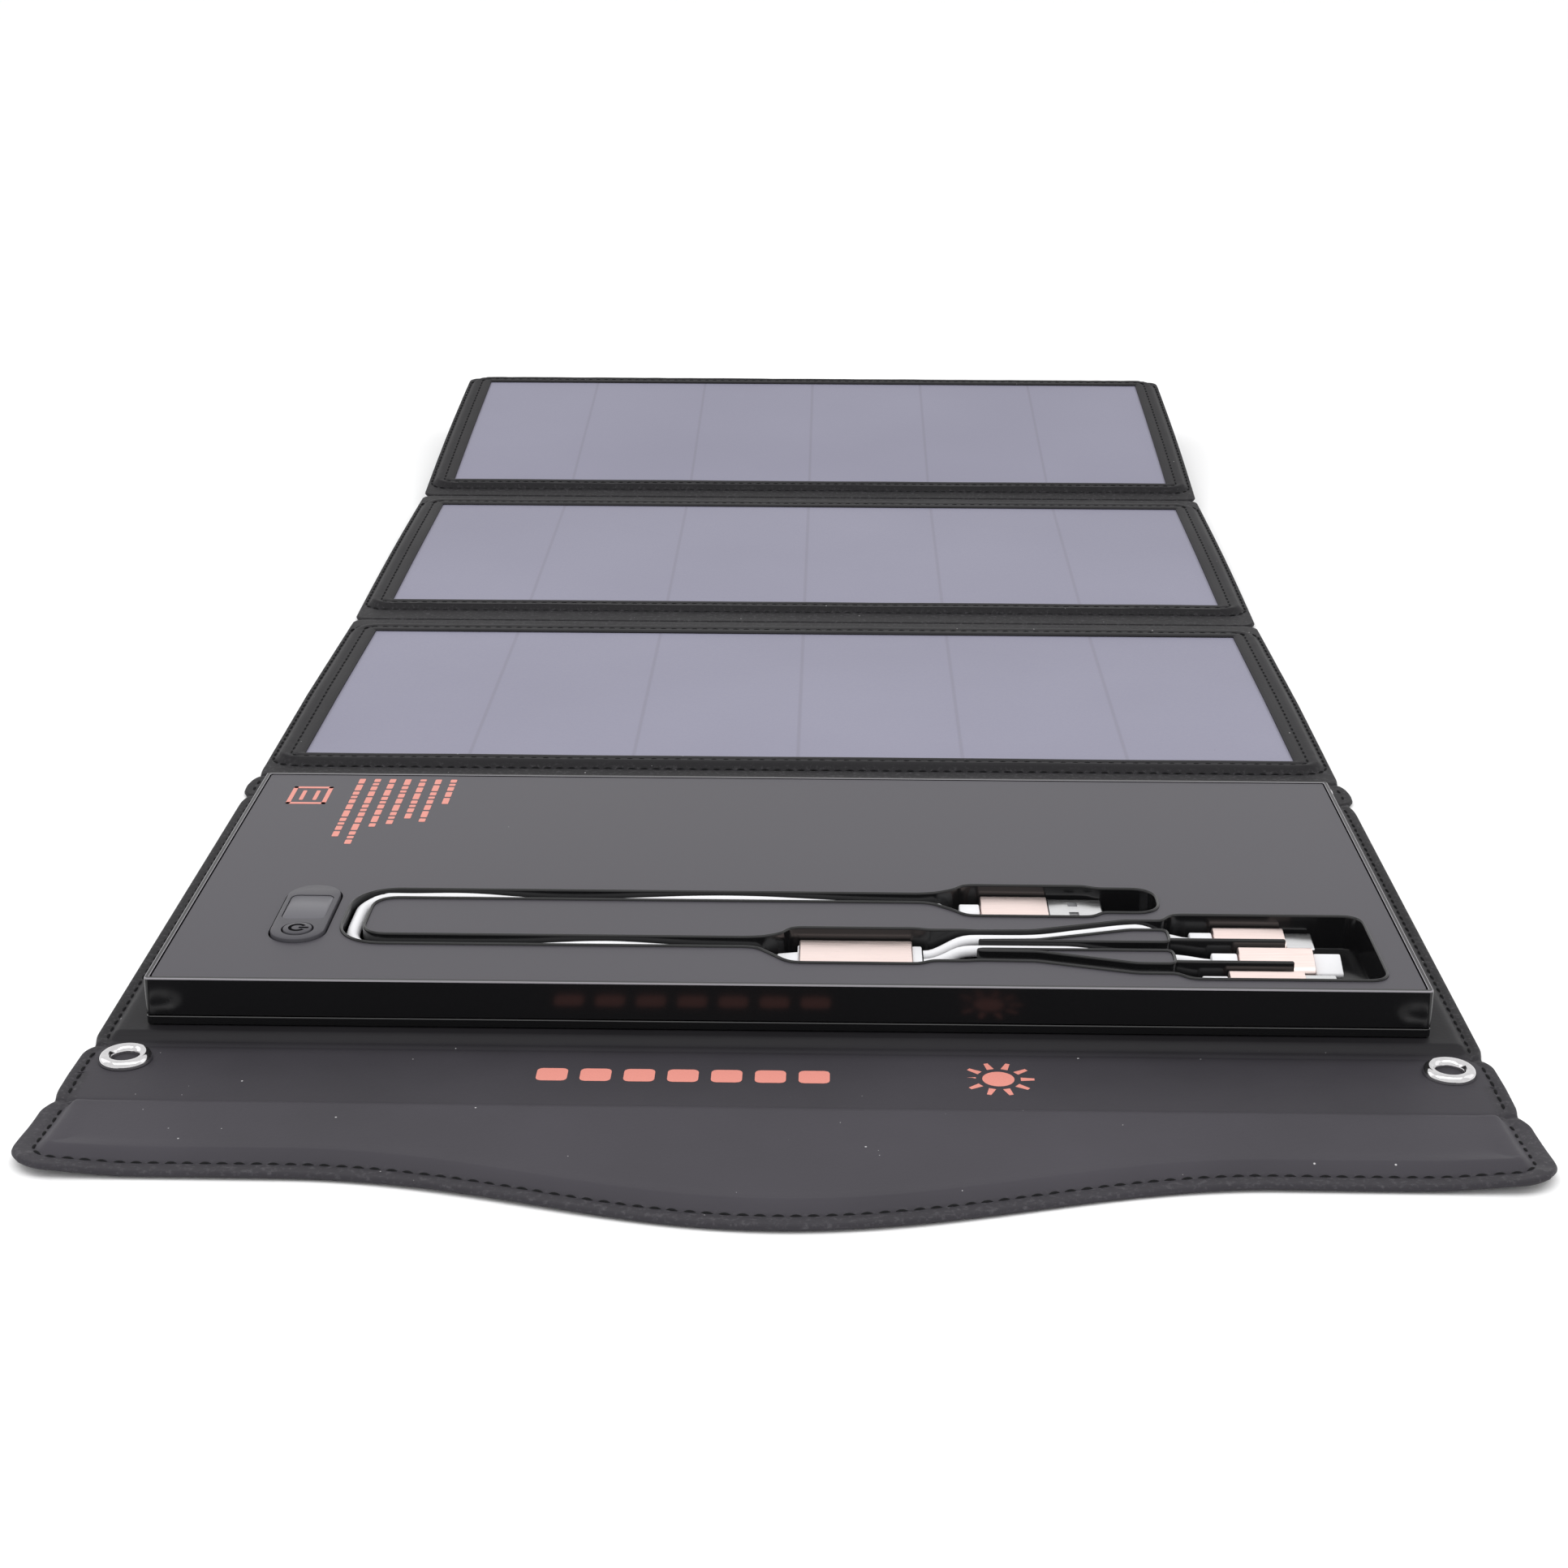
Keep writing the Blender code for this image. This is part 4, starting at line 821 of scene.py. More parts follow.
# ---- wallet ----
def wallet():
    bank_columns = graded([-BANK_LEAF_HALF, -WINDOW_HALF, WINDOW_HALF, BANK_LEAF_HALF], 0.3, 5.0)
    folding("bank_leaf_front_leather", bank_columns,
            graded([SPINE_SEAM, FRONT_FOLD, 0.0, BANK_SEAM], 0.35, 5.0), front_shape,
            ("bank_section", "spine_strip"), FRONT_FOLD, -FOLD_REACH,
            ("bank_leaf_outer_skin", "bank_leaf_inner_skin", "spine_inner_skin"))
    folding("bank_leaf_rear_leather", bank_columns,
            graded([BANK_SEAM, REAR_FOLD, GUSSET_SEAM], 0.35, 5.0), rear_shape,
            ("bank_section", "gusset_strip"), REAR_FOLD, FOLD_REACH,
            ("gusset_inner_skin", "gusset_outer_skin"))
    y_side = FLAP_FOLD - FLAP_SIDE_LEN
    columns = graded([-FLAP_HALF, -FLAP_HALF + 10.0, FLAP_HALF - 10.0, FLAP_HALF], 0.25, 2.6)
    rows = graded([y_side, y_side + 10.0, FLAP_FOLD, SPINE_SEAM], 0.25, 2.6)
    flap = folding("flap_and_spine_leather", columns, rows, flap_shape,
                   ("spine_strip", "closing_flap"), FLAP_FOLD, -FOLD_REACH,
                   ("flap_outer_skin", "flap_inner_skin", "spine_outer_skin"))

    leaf_columns = window_grid(-LEAF_HALF, -WINDOW_HALF, WINDOW_HALF, LEAF_HALF)

    def leaf_rows(number, y1):
        near = LEAVES[number][0]
        return window_grid(RUN, near, near + WINDOW_DEPTH, y1)

    rows = leaf_rows(3, LEAVES[3][1] - RUN) + LEAF_3_FOLD
    rows = np.concatenate([graded([GUSSET_SEAM, LEAF_3_FOLD], 0.3, 2.0)[:-1], rows])
    border = folding("leaf_3_leather", leaf_columns, rows, leaf_3_shape,
                     ("gusset_strip", "leaf_3"), LEAF_3_FOLD, FOLD_REACH,
                     ("leaf_3_outer_skin", "leaf_3_frame_skin"))
    for number, place, z_under, y1 in ((2, LEAF_2_PLACE, LEAF_2_UNDER, LEAVES[2][1] - RUN),
                                       (1, LEAF_1_PLACE, LEAF_1_UNDER, LEAVES[1][1])):
        shape = free_leaf_shape(number, z_under, RUN, y1)
        leaf = slab("leaf_%d_leather" % number, leaf_columns, leaf_rows(number, y1), shape, place)
        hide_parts("leaf_%d_outer_skin" % number, "leaf_%d_frame_skin" % number)
        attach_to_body(leaf, "leaf_%d" % number)
        window_stitches(number, shape, place)
    window_stitches(3, leaf_3_shape, ROOT, LEAF_3_FOLD)
    flat_web("leaf_3_to_2_fold", LEAF_2_PLACE, 0.25, 0.65, "leaf_3", "leaf_2")
    flat_web("leaf_2_to_1_fold", LEAF_1_PLACE, LEAF_1_UNDER + 0.1, LEAF_1_UNDER + 0.6,
             "leaf_2", "leaf_1")

    side_stitches("bank_leaf_stitches", "bank_section",
                  (FRONT_FOLD + 3.0, BANK_SEAM, BANK_LEAF_HALF, BANK_STITCH, front_shape),
                  (BANK_SEAM, REAR_FOLD - 3.0, BANK_LEAF_HALF, BANK_STITCH, rear_shape))
    side_stitches("spine_stitches", "spine_strip",
                  (SPINE_SEAM, FRONT_FOLD - 3.0, BANK_LEAF_HALF, BANK_STITCH, front_shape),
                  (FLAP_FOLD + 3.0, SPINE_SEAM, FLAP_HALF, SPINE_STITCH, flap_shape))
    side_stitches("gusset_stitches", "gusset_strip",
                  (REAR_FOLD + 3.0, GUSSET_SEAM, BANK_LEAF_HALF, BANK_STITCH, rear_shape),
                  (GUSSET_SEAM, LEAF_3_FOLD - 3.0, LEAF_HALF, BANK_STITCH, leaf_3_shape))
    half, near, top = FLAP_HALF - FLAP_STITCH, y_side + FLAP_STITCH, FLAP_FOLD - 3.5
    line = dense([(-half, top), (-half, near), (half, near), (half, top)], 1.0)
    stitches("flap_stitches", [on_surface(flap_shape, line)], ROOT, "closing_flap")


def eyelet(name, y, x, body):
    """A turned eyelet: domed ring, barrel and back washer, from one profile."""
    dome = [(GROMMET_HOLE_R - 0.5 + 1.5 * (1 - math.cos(a)), HEM_Z + 0.35 + 1.35 * math.sin(a))
            for a in np.radians(np.linspace(0, 90, 10))]
    skirt = [(4.2 + 1.28 * math.sin(a), HEM_Z + 0.3 + 1.4 * math.cos(a))
             for a in np.radians(np.linspace(12, 90, 8))]
    below = [(GROMMET_R, HEM_Z + 0.12), (3.9, HEM_Z + 0.05), (3.9, 0.55), (GROMMET_R - 0.1, 0.5),
             (GROMMET_R, 0.35), (GROMMET_R - 0.15, 0.12), (GROMMET_HOLE_R - 0.4, 0.12),
             (GROMMET_HOLE_R - 0.5, 0.3)]
    rings = [at_z(circle(x, y, r), z) for r, z in dome + skirt + below]
    attach(loft(name + "_eyelet", rings, ROOT, CHROME, ring=True, smooth_deg=55.0),
           body, "chrome", name)


def eyelets():
    for strip, y in (("spine", FRONT_FOLD - GROMMET_FROM_FOLD),
                     ("gusset", REAR_FOLD + GROMMET_FROM_FOLD)):
        for side, label in ((-1, "left"), (1, "right")):
            eyelet("%s_grommet_%s" % (strip, label), y, side * GROMMET_X, strip + "_strip")


# ---- power bank ----
def plan(x, y):
    """A point on the bank's plan, measured from its front left corner, in local x and y."""
    return x - BANK_W / 2, y * PLAN_STRETCH


def planned(points):
    return [plan(x, y) for x, y in points]


def bank_shell():
    """Side frame and base plate with softened edges."""
    half, wall = BANK_W / 2, FRAME_WALL

    def rings(profile, least=0.0):
        return [at_z(guarded(rounded_rect(-half + inset, half - inset, inset, BANK_D - inset,
                                          max(1.0 - inset, least), 8)), z) for inset, z in profile]

    profile = [(0.12, FRAME_Z0), (0.0, FRAME_Z0 + 0.12), (0.0, FRAME_Z0 + 0.5),
               (0.0, BANK_TOP - 0.7), (0.0, BANK_TOP - 0.3),
               (0.08, BANK_TOP - 0.1), (0.28, BANK_TOP), (wall - 0.2, BANK_TOP),
               (wall - 0.04, BANK_TOP - 0.08), (wall, BANK_TOP - 0.25), (wall, FRAME_Z0)]
    side = loft("bank_side_shell", rings(profile, 0.25), ROOT, GLOSS, ring=True)
    cutters = []
    for y, wide, tall, r in PORTS:
        mouth = rounded_rect(y - wide / 2, y + wide / 2, PORT_Z - tall / 2, PORT_Z + tall / 2, r)
        ends = [[(x, u, v) for u, v in mouth] for x in (-half - 1.0, -half + wall + 1.0)]
        cutters.append(loft("cutter", ends, ROOT, GLOSS))
    cut(side, cutters)
    # painted highlight: the upward-sloping bevel faces take the light grey, a light line along the
    # frame's top edges
    side.data.materials.append(BEVEL_HIGHLIGHT)
    for face in side.data.polygons:
        if 0.3 < face.normal.z < 0.95 and len(face.vertices) == 4:
            face.material_index = len(side.data.materials) - 1
    attach(side, "bank_section", "black_plastic", "bank_side_frame")
    profile = [(0.15, BASE_Z0), (0.0, BASE_Z0 + 0.15), (0.0, BASE_Z0 + 0.45),
               (0.0, BASE_Z1 - 0.45), (0.0, BASE_Z1 - 0.15), (0.15, BASE_Z1)]
    attach(loft("bank_base_band", rings(profile), ROOT, GLOSS),
           "bank_section", "black_plastic", "bank_base_plate")


# ---- channels: a distance field on the plan, and its outline ----
def turn_path(upper_x, lower_x):
    """Centre line of the lead's long U."""
    points = [(upper_x, UPPER_Y), (120.0, UPPER_Y), (80.0, UPPER_Y)]
    points += arc(TURN_X + TURN_R, UPPER_Y - TURN_R, TURN_R, 90, 180, 6)
    points += arc(TURN_X + TURN_R, LOWER_Y + TURN_R, TURN_R, 180, 270, 6)
    return points + [(80.0, LOWER_Y), (112.0, LOWER_Y), (lower_x, LOWER_Y)]


def channel_field(x, y):
    """Distance outside the channels and pockets for the lead, on the plan."""
    def ribbon(*path):
        """A band along a path of (x, y, half width)."""
        best = np.full(x.shape, 1e9)
        for (xa, ya, ha), (xb, yb, hb) in zip(path, path[1:]):
            length = math.hypot(xb - xa, yb - ya)
            t = np.clip(((x - xa) * (xb - xa) + (y - ya) * (yb - ya)) / length ** 2, 0, 1)
            away = np.hypot(x - xa - t * (xb - xa), y - ya - t * (yb - ya))
            best = np.minimum(best, away - (ha + t * (hb - ha)))
        return best

    def lane(points, half=GROOVE_HALF):
        return ribbon(*[(px, py, half) for px, py in points])

    def rect(x0, x1, y0, y1, r):
        dx = np.abs(x - (x0 + x1) / 2) - (x1 - x0) / 2 + r
        dy = np.abs(y - (y0 + y1) / 2) - (y1 - y0) / 2 + r
        outside = np.hypot(np.maximum(dx, 0), np.maximum(dy, 0))
        return outside + np.minimum(np.maximum(dx, dy), 0) - r

    shapes = [
        lane(turn_path(173.0, 134.0)),
        ribbon((168.0, UPPER_Y, GROOVE_HALF), (175.0, 46.6, 6.6)),
        rect(174.5, 205.5, 38.0, 54.8, 2.6),
        rect(198.0, 219.0, 40.5, 53.5, 4.5),
        ribbon((129.5, LOWER_Y, GROOVE_HALF), (136.5, 20.8, 7.4)),
        rect(135.5, 166.5, 11.9, 29.7, 2.6),
        rect(160.0, 176.5, 13.8, 28.9, 2.0),
        lane(BRANCHES[0]),
        lane(BRANCHES[1], 1.8),
        lane(BRANCHES[2]),
        rect(220.0, 263.5, 5.5, 38.8, 3.4),
    ]
    field, blend = shapes[0], 1.4
    for shape in shapes[1:]:
        h = np.clip(0.5 + 0.5 * (shape - field) / blend, 0, 1)
        field = shape + (field - shape) * h - blend * h * (1 - h)
    return field


def contours(field, xs, ys):
    """Closed lines where the field is zero, as lists of (x, y)."""
    inside = field < 0
    nodes, links = {}, {}

    def crossing(i, j, di):
        """The key of the zero on the grid edge from (i, j) along x (di 1) or y (di 0)."""
        a, b = field[i, j], field[i + di, j + 1 - di]
        if (a < 0) == (b < 0):
            return None
        t = a / (a - b) * FIELD_STEP
        nodes[i, j, di] = (xs[i] + t * di, ys[j] + t * (1 - di))
        return i, j, di

    mixed = inside[:-1, :-1].astype(int) + inside[1:, :-1] + inside[1:, 1:] + inside[:-1, 1:]
    for i, j in zip(*np.nonzero((mixed > 0) & (mixed < 4))):
        found = [crossing(i, j, 1), crossing(i + 1, j, 0), crossing(i, j + 1, 1),
                 crossing(i, j, 0)]
        found = [key for key in found if key]
        for a, b in zip(found[::2], found[1::2]):
            links.setdefault(a, []).append(b)
            links.setdefault(b, []).append(a)
    loops = []
    while links:
        start = next(iter(links))
        line, here, before = [start], start, None
        while True:
            step = [n for n in links[here] if n != before]
            before, here = here, step[0]
            if here == start:
                break
            line.append(here)
        for key in line:
            links.pop(key)
        loops.append([nodes[key] for key in line])
    return loops


def averaged(ring):
    """Each point of a closed ring moved towards its neighbours."""
    return 0.5 * ring + 0.25 * (np.roll(ring, 1, 0) + np.roll(ring, -1, 0))


def smooth_loop(points, pitch, rounds):
    """A closed line at an even pitch, its small steps averaged out."""
    line = measured(points + points[:1])
    count = int(line[1][-1] / pitch)
    even = points_at(np.arange(count) * line[1][-1] / count, *line)
    for _ in range(rounds):
        even = averaged(even)
    return even


def outward(loop):
    """Unit directions out of the channel along a loop."""
    h = 0.2
    x, y = loop.T
    gx = channel_field(x + h, y) - channel_field(x - h, y)
    gy = channel_field(x, y + h) - channel_field(x, y - h)
    return unit(averaged(averaged(unit(np.stack([gx, gy], -1)))))


def channel_floor(x, y):
    """Floor height: shallow under the cables, deep under the plugs and the junction."""
    drop = GROOVE_FLOOR - POCKET_FLOOR
    upper = GROOVE_FLOOR - drop * ease(x, 167.0, 173.0)
    lower = GROOVE_FLOOR - drop * ease(x, 128.5, 134.0)
    lower += (FAN_FLOOR - POCKET_FLOOR) * ease(x, 166.0, 168.0)
    lower += (GROOVE_FLOOR - FAN_FLOOR) * ease(x, 175.0, 178.0)
    lower -= drop * ease(x, 218.0, 221.0)
    return np.where(y > 36.0, upper, lower)


def tray_and_plate():
    """The moulded tray with its raised bead lip, and the satin plate that it comes through."""
    xs = np.arange(FIELD_X0, FIELD_X1, FIELD_STEP)
    ys = np.arange(FIELD_Y0, FIELD_Y1, FIELD_STEP)
    lines = contours(channel_field(*np.meshgrid(xs, ys, indexing="ij")), xs, ys)
    bead = [(LIP_W / 2 * (1 - math.cos(a)), PLATE_Z1 - 0.05 + (LIP_TOP - PLATE_Z1) * math.sin(a))
            for a in np.radians(np.linspace(0, 180, 9))]
    bm = bmesh.new()
    floors, bottoms = [], []
    outlines = [rounded_rect(*grown((-BANK_W / 2, BANK_W / 2, 0.0, BANK_D), -FRAME_WALL - 0.3),
                             0.6, 6),
                planned(rounded_rect(*grown(PILL, 0.45), PILL_R + 0.45, 12))]
    for loop in [smooth_loop(line, 0.65, 4) for line in lines if len(line) > 40]:
        away = outward(loop)
        floor = channel_floor(*loop.T)
        profile = [(-0.45, floor), (-0.18, floor + 0.10), (-0.03, floor + 0.45)] + bead
        rows = []
        for offset, z in profile + [(LIP_W, PLATE_Z0 - 0.4), (LIP_W, TRAY_Z0)]:
            px, py = plan(*(loop + away * offset).T)
            rows.append(vertex_row(bm, np.stack([px, py, np.broadcast_to(z, px.shape)], -1)))
        skin(bm, rows)
        floors.append(rows[0])
        bottoms.append(rows[-1])
        outlines.append(planned(loop + away * (LIP_W - 0.12)))
    filled(bm, floors)
    filled(bm, bottoms)
    attach(piece("tray_with_lip", bm, GLOSS, 38.0), "bank_section", "black_plastic", "cable_tray")

    bm = bmesh.new()
    upper, lower = [[vertex_row(bm, at_z(outline, z)) for outline in outlines]
                    for z in (PLATE_Z1, PLATE_Z0)]
    filled(bm, upper)
    filled(bm, lower)
    for pair in zip(lower, upper):
        skin(bm, pair)
    attach(piece("satin_top_plate", bm, PLATE, 30.0),
           "bank_section", "satin_plate", "bank_top_plate")


def fins():
    """Low dividers between the device plugs."""
    for i, y in enumerate(FINS):
        rings = []
        for grow, z in ((0.0, POCKET_FLOOR - 0.3), (0.0, PLATE_Z1 - 1.0), (-0.12, PLATE_Z1 - 0.75),
                        (-0.32, PLATE_Z1 - 0.62)):
            outline = rounded_rect(*grown((219.0, 245.5, y - 0.5, y + 0.5), grow), 0.48 + grow, 5)
            rings.append(at_z(planned(outline), z))
        attach(loft("plug_fin_%d" % (i + 1), rings, ROOT, GLOSS), "bank_section", "black_plastic")


def display():
    """Pill-shaped cover with a screen window, and the power button with its symbol."""
    bm = bmesh.new()
    rows = []
    for grow, z in ((0.0, PLATE_Z0), (0.0, PILL_TOP - 0.35), (-0.1, PILL_TOP - 0.12),
                    (-0.35, PILL_TOP)):
        outline = planned(rounded_rect(*grown(PILL, grow), PILL_R + grow, 14))
        rows.append(vertex_row(bm, at_z(outline, z)))
    skin(bm, rows)
    ends = [[rows[0]], [rows[-1]]]
    for outline in (rounded_rect(*SCREEN, 1.8, 8), circle(*BUTTON, BUTTON_R + 0.4, 48)):
        pair = [vertex_row(bm, at_z(planned(outline), z)) for z in (PLATE_Z0, PILL_TOP)]
        skin(bm, pair)
        for end, row in zip(ends, pair):
            end.append(row)
    for loops in ends:
        filled(bm, loops)
    attach(piece("display_pill_cover", bm, PILL_MAT, 35.0),
           "bank_section", "black_plastic", "display_cover")
    rings = [at_z(planned(rounded_rect(*grown(SCREEN, grow), 1.7 + grow, 8)), z)
             for grow, z in ((-0.12, PLATE_Z0), (-0.12, PILL_TOP - 0.2), (-0.25, PILL_TOP - 0.1))]
    attach(loft("display_screen_window", rings, ROOT, SCREEN_MAT),
           "bank_section", "display_screen", "display_screen")
    bx, by = plan(*BUTTON)
    rings = [at_z(circle(bx, by, r, 48), z)
             for r, z in ((BUTTON_R, BUTTON_Z0), (BUTTON_R, BUTTON_TOP - 0.35),
                          (BUTTON_R - 0.08, BUTTON_TOP - 0.12), (BUTTON_R - 0.35, BUTTON_TOP))]
    attach(loft("power_button_cap", rings, ROOT, PILL_MAT),
           "power_button", "black_plastic", "power_button")
    r, wide = POWER_MARK_R, POWER_MARK_HALF
    broken_ring = arc(bx, by, r - wide, 35, 325, 29) + arc(bx, by, r + wide, 35, 325, 29)[::-1]
    bar = rounded_rect(bx + 0.3, bx + 2.5, by - wide, by + wide, 0.2, 3)
    strokes = [loft("stroke", [at_z(outline, BUTTON_TOP + h) for h in (-0.05, 0.04)], ROOT, MARK)
               for outline in (broken_ring, bar)]
    attach(join("power_mark", strokes), "power_button", "black_plastic")


# ---- printing ----
def printed(name, outlines, z, body):
    """Flat printed marks, as one thin piece."""
    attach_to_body(join(name, [loft("mark", [at_z(outline, h) for h in (z, z + 0.05)], ROOT, INK)
                        for outline in outlines]), body)


def bars(rects, r):
    return [rounded_rect(x0, x1, y0, y1, min(r, (y1 - y0) * 0.45, (x1 - x0) * 0.45), 3)
            for x0, x1, y0, y1 in rects]


def printing():
    """Generic marks: broken lines and a framed icon on the bank, bars and a sun on the spine."""
    rects = []
    for row, width in enumerate((16.0, 30.0, 27.0, 31.0, 34.0, 44.0, 38.0)):
        x0, y = plan(48.0 - row * 3.9, 122.0)
        end, count = y - width, 0
        while y > end:
            length = (2.2, 3.4, 1.5, 4.2, 2.7)[(count * 2 + row) % 5]
            rects.append((x0, x0 + 1.6, y - length, y))
            y -= length + 0.9
            count += 1
    z = PLATE_Z1 - 0.01
    printed("label_lines", bars(rects, 0.3), z, "bank_section")
    x, y = plan(14.0, 110.0)
    icon = [(x + a, x + b, y + c, y + d) for a, b, c, d in (
        (-5.0, 5.0, 5.0, 6.2), (-5.0, 5.0, -6.2, -5.0), (-5.0, -3.9, -6.2, 6.2),
        (3.9, 5.0, -6.2, 6.2), (-2.2, -1.2, -3.4, 3.4), (1.2, 2.2, -3.4, 3.4))]
    printed("label_icon_book", bars(icon, 0.4), z, "bank_section")
    z = HEM_Z - 0.02
    dashes = [(-51.0 + i * 9.0, -51.0 + i * 9.0 + 6.4, -20.8, -15.2) for i in range(7)]
    printed("spine_marks", bars(dashes, 1.2), z, "spine_strip")
    cx, cy = 44.0, -18.0
    sun = [circle(cx, cy, 3.3, 40)]
    for a in np.arange(10) * 2 * math.pi / 10:
        ca, sa = math.cos(a), math.sin(a)
        sun.append([(cx + u * ca - v * sa, cy + u * sa + v * ca)
                    for u, v in ((4.6, -0.75), (7.4, -0.45), (7.4, 0.45), (4.6, 0.75))])
    printed("spine_sun_mark", sun, z, "spine_strip")


# ---- charging lead ----
def smooth_route(points, spacing):
    """Even points on a Catmull-Rom curve through the route's points."""
    route = [Vector(p) for p in points]
    route = [2 * route[0] - route[1]] + route + [2 * route[-1] - route[-2]]
    fine = []
    for a, b, c, d in zip(route, route[1:], route[2:], route[3:]):
        for t in np.arange(24) / 24:
            fine.append(0.5 * ((2 * b) + (c - a) * t + (2 * a - 5 * b + 4 * c - d) * t * t
                               + (3 * b - a - 3 * c + d) * t ** 3))
    line = measured(fine + [route[-2]])
    length = line[1][-1]
    return points_at(np.linspace(0.0, length, int(length / spacing) + 1), *line)


def raised(pts, rise, sideways):
    """A cable lifted in its groove, leaning on the far wall where it is high."""
    return pts + np.stack([0.0 * rise, sideways * np.minimum(rise, 1.0), rise], -1)


def main_cable():
    """From the USB-A plug round the U to the junction; it springs up here and there."""
    slope_z, mid = PLUG_Z + 1.3, JUNCTION[2]
    route = [(174.2, USB_A_Y, PLUG_Z), (173.1, USB_A_Y, PLUG_Z + 0.1), (170.5, 47.0, slope_z)]
    route += at_z(turn_path(165.5, 124.0), CABLE_Z)
    route += [(129.0, 21.7, slope_z), (132.0, mid + 0.1, PLUG_Z + 0.1), (133.2, mid, PLUG_Z)]
    pts = smooth_route([(*plan(x, y), z) for x, y, z in route], 1.4)
    x, y = pts[:, 0] + BANK_W / 2, pts[:, 1]
    rise = ease(y, 44.0, 47.0) * 1.25 * (ridge(x, 60.0, 15.0) + ridge(x, 122.0, 24.0))
    rise += ease(y, 25.0, 23.0) * 0.95 * ridge(x, 96.0, 15.0)
    rise += 0.8 * ridge(x, 41.0, 9.0) * ease(y, 26.0, 32.0)
    return raised(pts, rise * ease(x, 172.0, 164.0), 0.38)


def branch_cable(i):
    """From the junction along its channel to the plug; the first two ride high, not the third."""
    path, lane_y, start_y, end_x = BRANCHES[i], LANES[i], BRANCH_START_Y[i], BRANCH_END_X[i]
    x0 = JUNCTION[1] + 2.5
    groove_z = CABLE_Z - 0.3
    route = [(x0, start_y, PLUG_Z), (x0 + 1.2, start_y, PLUG_Z + 0.1),
             (x0 + 5.5, (start_y + path[1][1]) / 2, groove_z - 0.4)]
    route += at_z(path[1:-1], groove_z)
    route += [(218.5, (path[-1][1] + lane_y) / 2, groove_z - 0.1),
              (end_x - 1.2, lane_y, PLUG_Z + 0.1), (end_x, lane_y, PLUG_Z)]
    pts = smooth_route([(*plan(x, y), z) for x, y, z in route], 1.3)
    x = pts[:, 0] + BANK_W / 2
    height, full, gone = ((1.75, 213.0, 220.0), (1.45, 196.0, 212.0), (0.0, 196.0, 212.0))[i]
    return raised(pts, height * ease(x, 167.5, 176.0) * ease(x, gone, full), 0.35)


def tube(name, pts, radius, node):
    """A round cable along even points."""
    turns = np.arange(16) * 2 * math.pi / 16
    rings = []
    for p, way in zip(pts, unit(np.gradient(pts, axis=0))):
        across, up = across_and_up(way)
        rings.append([p + radius * (across * math.cos(a) + up * math.sin(a)) for a in turns])
    attach(loft(name, rings, ROOT, WHITE, smooth_deg=50.0), "charging_lead", "white_plastic", node)


def plug_place(y, roll_deg=0.0):
    """A plug's long axis, x as on the plan."""
    turn = Matrix.Rotation(math.radians(roll_deg), 4, "X")
    return ROOT @ Matrix.Translation((*plan(0.0, y), PLUG_Z)) @ turn


def sections(size, stations, lift=0.0):
    """Rounded rings along a plug's axis; stations holds (x, how much the section grows)."""
    wide, tall, r = size
    return [[(x, u, v + lift) for u, v in rounded_rect(
        *grown((-wide / 2, wide / 2, -tall / 2, tall / 2), grow), max(r + grow, 0.08), 7)]
        for x, grow in stations]


def plug_body(name, place, x0, x1, size, mat, node, slot, round_off=0.35):
    """A rounded plug piece along x, its ends softened."""
    r = round_off
    rings = sections(size, [(x0, -r), (x0 + 0.3 * r, -0.3 * r), (x0 + r, 0.0),
                            ((x0 + x1) / 2, 0.0), (x1 - r, 0.0), (x1 - 0.3 * r, -0.3 * r),
                            (x1, -r)])
    attach(loft(name, rings, place, mat), "charging_lead", slot, node)


def plug_mouth(name, place, x_back, x_tip, size, wall, node, windows=()):
    """A metal plug end, open at its tip; windows are (x, y) of square latch holes on top."""
    wide, tall, r = size
    rings = sections(size, [(x_back, 0.0), (x_tip - 0.25, 0.0), (x_tip, -0.1)])
    rings += sections((wide - 2 * wall, tall - 2 * wall, max(r - wall, 0.15)),
                      [(x_tip, 0.0), (x_back + 1.2, 0.0)])
    obj = loft(name, rings, place, STEEL)
    if windows:
        cut(obj, [loft("cutter", [at_z(rounded_rect(x - 1.1, x + 1.1, y - 1.25, y + 1.25, 0.15, 2),
                                       z) for z in (tall / 2 - wall - 0.2, tall)], place, STEEL)
                  for x, y in windows])
    attach(obj, "charging_lead", "steel", node)


def insert(name, place, x0, x1, size, mat, slot, lift=0.0):
    """The tongue inside a plug's metal end."""
    rings = sections(size, [(x0, 0.0), (x1 - 0.2, 0.0), (x1, -0.12)], lift)
    attach(loft(name, rings, place, mat), "charging_lead", slot)


